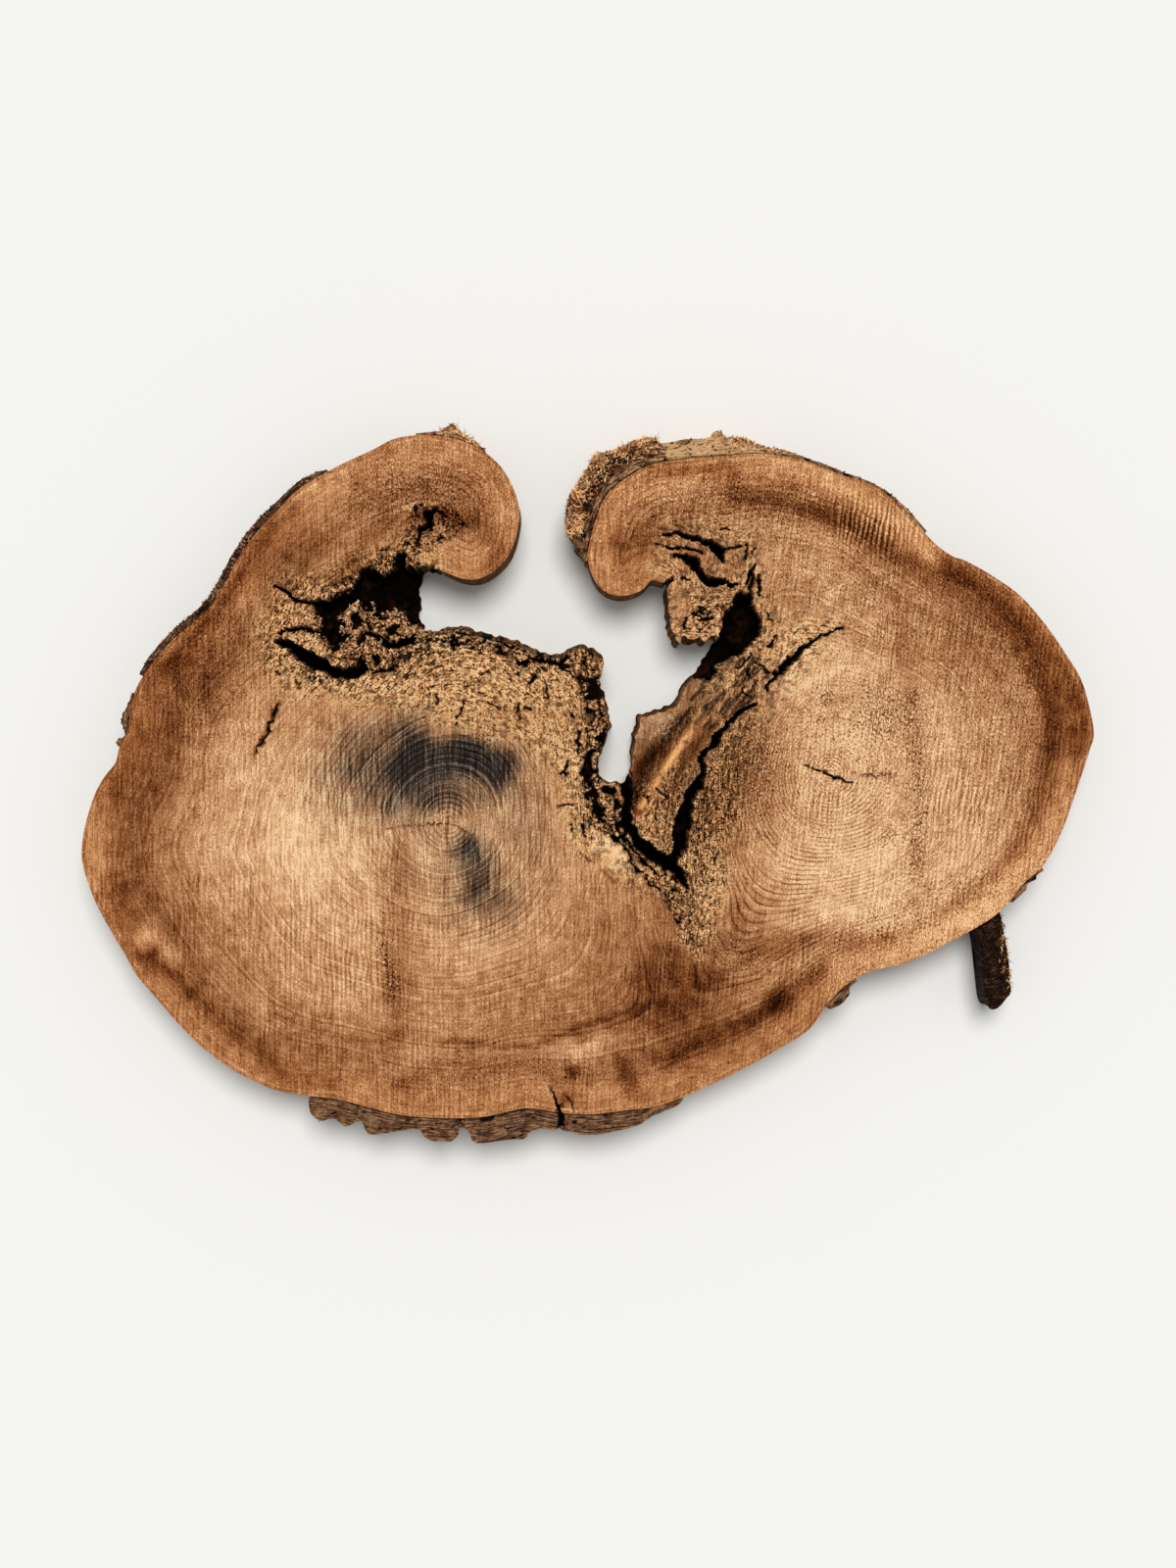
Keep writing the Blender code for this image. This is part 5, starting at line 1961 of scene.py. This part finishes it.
@dataclass(frozen=True)
class BarkStrip:
    """A strip of bark that follows the wood's edge, from root to root."""

    node: str
    outer: Path
    slot: str
    seed: int
    height: float = THICKNESS
    furrow: float = 4.0
    wear: float = 2.6
    split_depth: float = 2.4
    gap_depth: float = 16.0
    pitch: float = 9.0
    stand_off: float = 0.3
    step: float = 2.0
    rows: int = 8
    levels: int = 20
    tones: Marks = ()
    gaps: Marks = ()

    def inner_path(self, outline: SliceOutline, count: int) -> Array:
        """Follow the wood's edge beside the strip.

        Args:
            outline: The wood's edge.
            count: How many points are wanted.

        Returns:
            The points, evenly spaced, one row each.
        """
        edge = outline.front + outline.outward() * self.stand_off
        ends = [int(np.hypot(*(edge - self.outer[k]).T).argmin()) for k in (0, -1)]
        length = (ends[1] - ends[0]) % len(edge)
        path = edge[(ends[0] + np.arange(length + 1)) % len(edge)]
        run = run_along(path)
        wanted = np.linspace(0.0, run[-1], count)
        return np.column_stack([np.interp(wanted, run, path[:, k]) for k in (0, 1)])

    def paired(self, outline: SliceOutline) -> tuple[Array, Array]:
        """Pair each point of the outer edge with a point of the wood's edge.

        Args:
            outline: The wood's edge.

        Returns:
            The points of the outer edge, and those of the wood's edge.
        """
        outer = open_spline(self.outer, self.step)
        fine = self.inner_path(outline, 6 * len(outer))
        nearest = np.array([np.hypot(*(fine - point).T).argmin() for point in outer], float)
        nearest = np.maximum.accumulate(nearest)
        ends = np.linspace(0.0, len(fine) - 1.0, len(outer))
        nearest = 0.75 * nearest + 0.25 * ends
        nearest[0], nearest[-1] = 0.0, len(fine) - 1.0
        inner = [np.interp(nearest, np.arange(len(fine)), fine[:, k]) for k in (0, 1)]
        return outer, np.column_stack(inner)

    def furrows_at(self, spot: Array) -> Array:
        """Work out the furrows of the outer side.

        Args:
            spot: Run along the strip and height of each point, one row each.

        Returns:
            How deep the furrows are, from 0 to 1.
        """
        long = np.abs(LatticeNoise(self.seed).at(spot, (self.pitch, 46.0)))
        short = np.abs(LatticeNoise(self.seed + 1).at(spot, (self.pitch * 2.2, 12.0)))
        return smooth(np.maximum(1.0 - long * 2.6, 1.0 - short * 6.0))

    def mesh(self, outline: SliceOutline) -> Mesh:
        """Build the strip.

        Args:
            outline: The wood's edge.

        Returns:
            Its closed mesh, with its furrows and the layers of its sawn face.
        """
        outer, inner = self.paired(outline)
        count = len(outer)
        width = np.hypot(*(outer - inner).T)
        out = (outer - inner) / np.maximum(width, TINY)[:, None]
        run = run_along(outer)
        ends = smooth(np.minimum(run, run[-1] - run) / 6.0)
        section = [np.column_stack([inner, np.full(count, z)]) for z in (0.0, self.height * 0.5)]
        layers = [np.zeros(count), np.zeros(count)]
        furrows = [np.zeros(count), np.zeros(count)]
        for row in range(self.rows + 1):
            share = row / self.rows
            plan = inner + (outer - inner) * share
            worn = LatticeNoise(self.seed + 3).layered(plan, 5.0)
            drop = self.wear * smooth(0.4 + worn) * share * ends
            place = np.column_stack([run, share * width])
            split = smooth(2.5 * LatticeNoise(self.seed + 4).at(place, (11.0, 3.0)) - 1.2)
            gap = weigh(self.gaps, plan)
            sunk = self.split_depth * split * min(1.0, 3.0 * share)
            drop += (sunk + self.gap_depth * smooth(1.6 * gap - 0.4)) * ends
            section.append(np.column_stack([plan, self.height - drop]))
            layers.append(share * width * MM)
            # Painted shade strength for the face: its split furrows and gaps, and the whole seam
            # next to the wood
            furrows.append(np.maximum(split * ends, 1.6 * gap) if row else np.ones(count))
        for level in range(1, self.levels + 1):
            z = self.height * (1.0 - level / self.levels)
            spot = np.column_stack([run, np.full(count, z)])
            deep = self.furrows_at(spot) * min(1.0, 1.6 * level / self.levels + 0.35)
            rough = LatticeNoise(self.seed + 2).layered(spot, 4.0) * 0.5 + 0.5
            bite = np.minimum(self.furrow * deep + 1.2 * rough, 0.55 * width) * ends
            section.append(np.column_stack([outer - out * bite[:, None], np.full(count, z)]))
            layers.append(width * MM)
            # Painted shade strength for the outer side: the depth of its furrows
            furrows.append(deep * ends)
        corners = np.stack(section, axis=1)
        around = corners.shape[1]
        faces = [
            (j * around + k, j * around + (k + 1) % around,
             (j + 1) * around + (k + 1) % around, (j + 1) * around + k)
            for j in range(count - 1) for k in range(around)
        ]
        faces.append(tuple(range(around)))
        faces.append(tuple((count - 1) * around + k for k in reversed(range(around))))
        corners = corners.reshape(-1, 3)
        mesh = mesh_from(self.node, outline.placed(corners), faces)
        face_outward(mesh)
        add_values(mesh, "run", np.repeat(run * MM, around))
        add_values(mesh, "layer", np.stack(layers, axis=1).ravel())
        add_values(mesh, "furrow", np.stack(furrows, axis=1).ravel())
        # Tone patches of the bark; on the left rim and the peeled strip they are painted shade
        add_values(mesh, "pale", weigh(self.tones, corners[:, :2]))
        mesh.shade_smooth()
        mesh.set_sharp_from_angle(angle=0.7)
        return mesh

    def build(self, outline: SliceOutline, finish: Material) -> Piece:
        """Make the piece and put it in the place of its solid.

        Args:
            outline: The wood's edge.
            finish: The strip's material.

        Returns:
            The piece.
        """
        piece = new_piece(f"{self.node}_dressed", self.mesh(outline), finish)
        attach(piece, "root")
        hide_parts(self.node)
        return piece


@dataclass(frozen=True)
class Fringe:
    """Small torn bits that grow on a strip of bark."""

    strip: BarkStrip
    name: str
    bit: Bit
    stretch: tuple[float, float]
    inset: float
    pale: bool
    density: float
    length: float
    thickness: float

    def surface(self, outline: SliceOutline) -> Mesh:
        """Make the surface that the bits grow on.

        Args:
            outline: The wood's edge.

        Returns:
            A band over the sawn face and a little way down the outer side, with the
            bits' density and direction.
        """
        strip = self.strip
        outer, inner = strip.paired(outline)
        out = sideways(np.gradient(outer, axis=0))
        ahead = np.column_stack([out[:, 1], -out[:, 0]])
        share = np.linspace(0.0, 1.0, len(outer))
        first, last = self.stretch
        thickly = smooth((share - first) * 30.0) * smooth((last - share) * 30.0)
        clumps = 0.35 + 0.65 * smooth(0.7 + 1.6 * LatticeNoise(strip.seed + 7).at(outer, 14.0))
        rows = [(inner + (outer - inner) * k, strip.height - 0.8, 0.7)
                for k in np.linspace(self.inset, 1.0, 4)]
        rows += [(outer - out, strip.height - drop, thick)
                 for drop, thick in ((4.0, 1.0), (16.0, 0.5), (40.0, 0.25))]
        count = len(outer)
        corners = np.vstack([np.column_stack([plan, np.full(count, z)]) for plan, z, _ in rows])
        faces = [
            (k * count + j + 1, k * count + j, (k + 1) * count + j, (k + 1) * count + j + 1)
            for k in range(len(rows) - 1) for j in range(count - 1)
        ]
        mesh = mesh_from(f"{strip.node}_fringe", outline.placed(corners), faces)
        density = [thickly * clumps * thick for *_, thick in rows]
        add_values(mesh, "fringe", np.concatenate(density))
        flow = np.column_stack([0.8 * ahead + 0.35 * out, np.full(count, 0.15)])
        add_flow(mesh, np.tile(flow, (len(rows), 1)))
        return mesh

    def build(self, trees: Trees, surface: Mesh, finish: Material, seed: int) -> Piece:
        """Grow the bits.

        Args:
            trees: The tree for each kind of bit.
            surface: What they grow on.
            finish: Their material.
            seed: Number that fixes the scatter.

        Returns:
            The piece.
        """
        grown = trees[self.bit].grow(self.name, surface, finish, {
            "Density": self.density, "Length": self.length, "Thickness": self.thickness,
            "Seed": seed, "Spread": 1.1,
        })
        return grown


@dataclass(frozen=True)
class CrumbField:
    """A patch of rot where torn bits of wood stand up from the sawn face."""

    name: str
    bit: Bit
    corners: Path
    density: float
    length: float = 0.006
    thickness: float = 0.0008
    deepest: float = 8.0
    seed: int = 1
    spread: float = 1.0
    wiggle: float = 0.002
    heading: tuple[float, float, float] = (0.0, 0.0, 0.15)

    def surface(self, relief: FaceRelief) -> Mesh:
        """Make the surface that the bits grow on.

        Args:
            relief: How deep the rot is.

        Returns:
            A sheet that follows the rot, with the bits' density and direction.
        """
        corners = np.array(self.corners, float)
        loop = open_spline(np.vstack([corners, corners[:1]]), 4.0)[:-1]
        inner = hex_grid(loop.min(0), loop.max(0), 3.5, 90 + self.seed)
        inner = away_from(inner[inside(inner, loop)], loop, 2.0)
        points, triangles = flat_triangles(loop, inner)
        depth, _ = relief.sample(points)
        height = THICKNESS - np.minimum(depth, self.deepest) - 0.4
        sheet = relief.outline.placed(np.column_stack([points, height]))
        mesh = mesh_from(f"{self.name}_surface", sheet, triangles)
        clumps = smooth(0.45 + 2.2 * LatticeNoise(self.seed + 80).layered(points, 8.0))
        clumps *= inside(points, relief.outline.front)
        add_values(mesh, "fringe", clumps * smooth((self.deepest + 1.5 - depth) / 2.0))
        add_flow(mesh, np.tile(self.heading, (len(points), 1)))
        return mesh

    def build(self, trees: Trees, relief: FaceRelief, finish: Material) -> Piece:
        """Grow the bits with their tree.

        Args:
            trees: The tree for each kind of bit.
            relief: How deep the rot is.
            finish: The bits' material.

        Returns:
            The piece.
        """
        piece = trees[self.bit].grow(self.name, self.surface(relief), finish, {
            "Density": self.density, "Length": self.length, "Thickness": self.thickness,
            "Spread": self.spread, "Wiggle": self.wiggle, "Seed": self.seed,
        })
        return piece


LEFT_CRUMBS = pairs(
    -262, 150, -252, 180, -240, 192, -222, 190, -186, 184, -168, 166, -176, 142, -206, 130,
    -236, 120, -248, 128,
)
CRUMB_FIELDS = (
    CrumbField("left_cavity_chips", Bit.CHIP, LEFT_CRUMBS, 170000.0, 0.0065, 0.0010, 8.0, 21,
               wiggle=0.004),
    CrumbField("left_cavity_curls", Bit.FIBRE, LEFT_CRUMBS, 40000.0, 0.0075, 0.0006, 6.0, 20,
               wiggle=0.003),
    CrumbField("left_cavity_ledge", Bit.CHIP, pairs(
        -302, 150, -296, 163, -272, 156, -262, 142, -270, 136,
    ), 60000.0, 0.005, 0.0010, 3.0, 22),
    CrumbField("lower_rim_chips", Bit.CHIP, pairs(
        -170, 160, -140, 160, -100, 150, -66, 138, -40, 130, -10, 138, 14, 128, 10, 112, -20, 118,
        -60, 126, -110, 140, -168, 142,
    ), 60000.0, 0.0055, 0.0010, 2.0, 23),
    CrumbField("gap_edge_chips", Bit.CHIP, pairs(
        2, 112, 13, 110, 18, 84, 19, 60, 10, 34, 9, 12, 24, 4, 34, -8, 22, -30, 4, -22, -4, 10,
        0, 60,
    ), 90000.0, 0.0055, 0.0010, 3.0, 24),
    CrumbField("hanging_rot_chips", Bit.CHIP, pairs(
        86, 160, 100, 158, 128, 158, 134, 170, 122, 176, 100, 168,
    ), 40000.0, 0.0045, 0.0009, 2.0, 25),
    CrumbField("ledge_splinters", Bit.FIBRE, pairs(
        74, 76, 92, 84, 104, 100, 124, 118, 134, 140, 150, 128, 176, 138, 188, 120, 160, 96,
        128, 84, 96, 66,
    ), 30000.0, 0.009, 0.0007, 2.0, 26, 0.35, 0.001, (0.7, 0.75, 0.05)),
    CrumbField("tip_chips", Bit.CHIP, pairs(
        60, -84, 84, -84, 112, -60, 118, -90, 112, -140, 96, -130, 76, -104,
    ), 40000.0, 0.0045, 0.0009, 2.0, 27),
)
CURL_BARK = pairs(
    -3, 231, -14, 247, -18, 256, -21, 266, -20, 294, -12, 307, -7, 316, 3, 332, 8, 341, 20, 343,
    32, 347, 50, 355, 68, 358, 74, 352, 100, 356, 122, 357, 128, 363, 135, 364, 141, 358, 160, 357,
    180, 348, 200, 345, 220, 338, 245, 329, 262, 322, 282, 315, 302, 305, 325, 286, 346, 262,
)
FLAKE_BARK = pairs(465, -84, 458, -90, 458, -93, 449, -98, 447, -104, 441, -110, 433, -117)
CHIP_BARK = pairs(275, -197, 267, -204, 267, -211, 258, -221, 247, -226)
BASE_BARK = pairs(
    97, -318, 90, -325, 68, -334, 58, -340, 50, -345, 25, -351, 10, -354, -5, -354, -18, -351,
    -35, -349, -50, -348, -60, -352, -65, -358, -78, -359, -100, -362, -110, -363, -118, -360,
    -121, -352, -127, -347, -132, -348, -134, -356, -140, -361, -150, -361, -160, -360, -168, -355,
    -173, -348, -190, -350, -220, -354, -227, -350, -231, -341, -238, -341, -244, -345, -250, -345,
    -258, -338, -265, -338, -272, -340, -280, -336, -284, -330, -285, -320,
)
NOTCH_BARK = pairs(-480, 43, -480, 49, -474, 52, -473, 58, -476, 66, -475, 74, -470, 84, -465, 97)
TUFT_BARK = pairs(
    -176, 362, -164, 363, -152, 364, -143, 369, -138, 371, -133, 365, -122, 358, -113, 351,
    -105, 345,
)
PEELED_BARK = pairs(
    422, -127, 425, -136, 427, -151, 430, -166, 432, -181, 433, -196, 434, -210, 430, -215,
    425, -222, 418, -227, 413, -227, 409, -221, 407, -206, 406, -181, 403, -166, 400, -151,
    400, -143,
)
RIM_BARK = pairs(
    -458, 116, -452, 128, -444, 139, -426, 159, -409, 173, -390, 192, -377, 212, -362, 240,
    -343, 267, -321, 289, -298, 311, -280, 321, -267, 325,
)
CROWN_TONES = patches(
    (-12, 262, 30, 40, -0.24), (30, 352, 40, 10, 0.2), (96, 344, 36, 10, 0.4),
    (160, 352, 60, 16, 0.34), (260, 322, 80, 30, -0.15),
) + bands(
    (8.0, -0.6, -2, 290, 10, 314, 26, 330, 48, 341, 72, 345),
)
# Painted shade: the left rim bark is darkened as an edge turned from the light, and the peeled
# strip as if in the slab's shadow
PAINTED_SHADE_ON_BARK = patches((-360, 230, 300, 300, -0.28), (416, -180, 60, 120, -0.52))
BASE = BarkStrip("bark_base", BASE_BARK, "bark", 101, furrow=7.0, gaps=bands(
    (3.0, 1.0, -30, -326, -27, -338, -30, -352)))
CROWN = BarkStrip("bark_crown_right", CURL_BARK, "fibrous_bark", 111, tones=CROWN_TONES)
TUFT = BarkStrip("bark_tuft_left", TUFT_BARK, "fibrous_bark", 121, furrow=2.0)
RIM = BarkStrip("bark_rim_left", RIM_BARK, "bark", 131, furrow=2.0, tones=PAINTED_SHADE_ON_BARK)
NOTCH = BarkStrip("bark_notch_left", NOTCH_BARK, "bark", 141, furrow=2.0)
FLAKE = BarkStrip("bark_flake_right", FLAKE_BARK, "bark", 151, furrow=2.0)
CHIP = BarkStrip("bark_chip_right", CHIP_BARK, "bark", 161, furrow=2.0)
PEELED = BarkStrip("peeled_bark_strip", PEELED_BARK, "bark", 171, height=62.0, furrow=3.0,
                   tones=PAINTED_SHADE_ON_BARK)
STRIPS = (BASE, CROWN, TUFT, RIM, NOTCH, FLAKE, CHIP, PEELED)
FRINGES = (
    Fringe(CROWN, "crown_shreds", Bit.CHIP, (0.05, 0.4), 0.36, True, 330000.0, 0.012, 0.0009),
    Fringe(CROWN, "crown_crust", Bit.CHIP, (0.0, 1.0), -0.02, False, 70000.0, 0.006, 0.0011),
    Fringe(CROWN, "crown_fibres", Bit.FIBRE, (0.05, 0.4), 0.5, True, 36000.0, 0.01, 0.0006),
    Fringe(CROWN, "crown_lumps", Bit.CHIP, (0.46, 0.7), 0.3, True, 260000.0, 0.008, 0.0009),
    Fringe(CROWN, "crown_lump_fibres", Bit.FIBRE, (0.5, 0.66), 0.6, True, 60000.0, 0.007, 0.0006),
    Fringe(TUFT, "tuft_shreds", Bit.CHIP, (0.02, 0.98), 0.0, True, 260000.0, 0.009, 0.001),
    Fringe(TUFT, "tuft_fibres", Bit.FIBRE, (0.02, 0.98), 0.0, True, 90000.0, 0.012, 0.0006),
    Fringe(RIM, "rim_crust", Bit.CHIP, (0.0, 1.0), 0.0, False, 240000.0, 0.006, 0.0012),
    Fringe(RIM, "rim_hairs", Bit.FIBRE, (0.0, 1.0), 0.2, False, 50000.0, 0.007, 0.0005),
    Fringe(NOTCH, "notch_crust", Bit.CHIP, (0.0, 1.0), 0.0, False, 240000.0, 0.006, 0.0012),
    Fringe(BASE, "base_splinters", Bit.FIBRE, (0.0, 1.0), 0.7, False, 8000.0, 0.006, 0.0006),
    Fringe(PEELED, "peeled_fibres", Bit.FIBRE, (0.0, 0.45), 0.6, True, 140000.0, 0.008, 0.0006),
)


@dataclass(frozen=True)
class Studio:
    """A plain pale floor, soft light from the photo's top and a camera that looks down."""

    camera_height: float = 2.6
    view_height: float = 1.6
    sensor: float = 36.0
    middle: Place = (0.0, 4.0)
    floor_reach: float = 4.0
    floor_colour: Colour = (247, 247, 244)
    sun_strength: float = 2.05
    sun_width: float = 0.45
    sun_colour: Colour = (1.0, 0.99, 0.975)
    sun_tilt: Triple = (-0.30, 0.06, 0.0)
    sky_strength: float = 0.368

    def build(self, outline: SliceOutline) -> None:
        """Place the floor, the lights and the camera.

        Args:
            outline: The edge of the slice, which knows where it lies.
        """
        floor_nodes = FinishNodes("pale_floor")
        finish = floor_nodes.dress(paint(*self.floor_colour), 0.95, 0.0)
        corners = np.array([(-1, -1, 0), (1, -1, 0), (1, 1, 0), (-1, 1, 0)]) * self.floor_reach
        new_piece("floor", mesh_from("floor", corners, [(0, 1, 2, 3)]), finish)
        scene = bpy.context.scene
        sun = bpy.data.lights.new("soft_key", "SUN")
        sun.energy, sun.angle, sun.color = self.sun_strength, self.sun_width, self.sun_colour
        lamp = bpy.data.objects.new("soft_key", sun)
        lamp.rotation_euler = self.sun_tilt
        scene.collection.objects.link(lamp)
        world = bpy.data.worlds.new("even_sky")
        world.use_nodes = True
        backdrop = world.node_tree.nodes["Background"]
        backdrop.inputs["Color"].default_value = (1.0, 1.0, 1.0, 1.0)
        backdrop.inputs["Strength"].default_value = self.sky_strength
        scene.world = world
        lens = bpy.data.cameras.new("overhead")
        lens.sensor_width = self.sensor
        lens.lens = self.sensor * self.camera_height / self.view_height
        camera = bpy.data.objects.new("overhead", lens)
        x, y, z = outline.placed(np.array([*self.middle, THICKNESS]))
        camera.location = (x, y, z + self.camera_height)
        scene.collection.objects.link(camera)
        scene.camera = camera
        scene.view_settings.view_transform = "Standard"


def report(piece: Piece) -> None:
    """Say that a piece is done."""
    log.info("%s: %d faces", piece.name, len(piece.data.polygons))


def main() -> None:
    """Build the cookie piece by piece and report each of them."""
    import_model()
    outline = SliceOutline()
    log.info("plan moves onto the frame by %.2f, %.2f mm", *outline.offset)
    slab = WalnutSlab(outline, FaceRelief(outline), WoodFigure(outline))
    report(slab.build(WalnutFinish().material()))
    finishes = {"bark": FURROWED_BARK.material(), "fibrous_bark": FIBROUS_BARK.material()}
    for strip in STRIPS:
        report(strip.build(outline, finishes[strip.slot]))
    trees = {bit: GrowthTree(bit) for bit in Bit}
    torn, dark = TORN_FIBRES.material(), DARK_FIBRES.material()
    for number, fringe in enumerate(FRINGES):
        finish = torn if fringe.pale else dark
        report(fringe.build(trees, fringe.surface(outline), finish, 2 * number + 3))
    crumb_finish = ROT_CRUMBS.material()
    for crumbs in CRUMB_FIELDS:
        report(crumbs.build(trees, slab.relief, crumb_finish))
    Studio().build(outline)


if __name__ == "__main__":
    logging.basicConfig(level=logging.INFO, format="%(name)s: %(message)s")
    main()
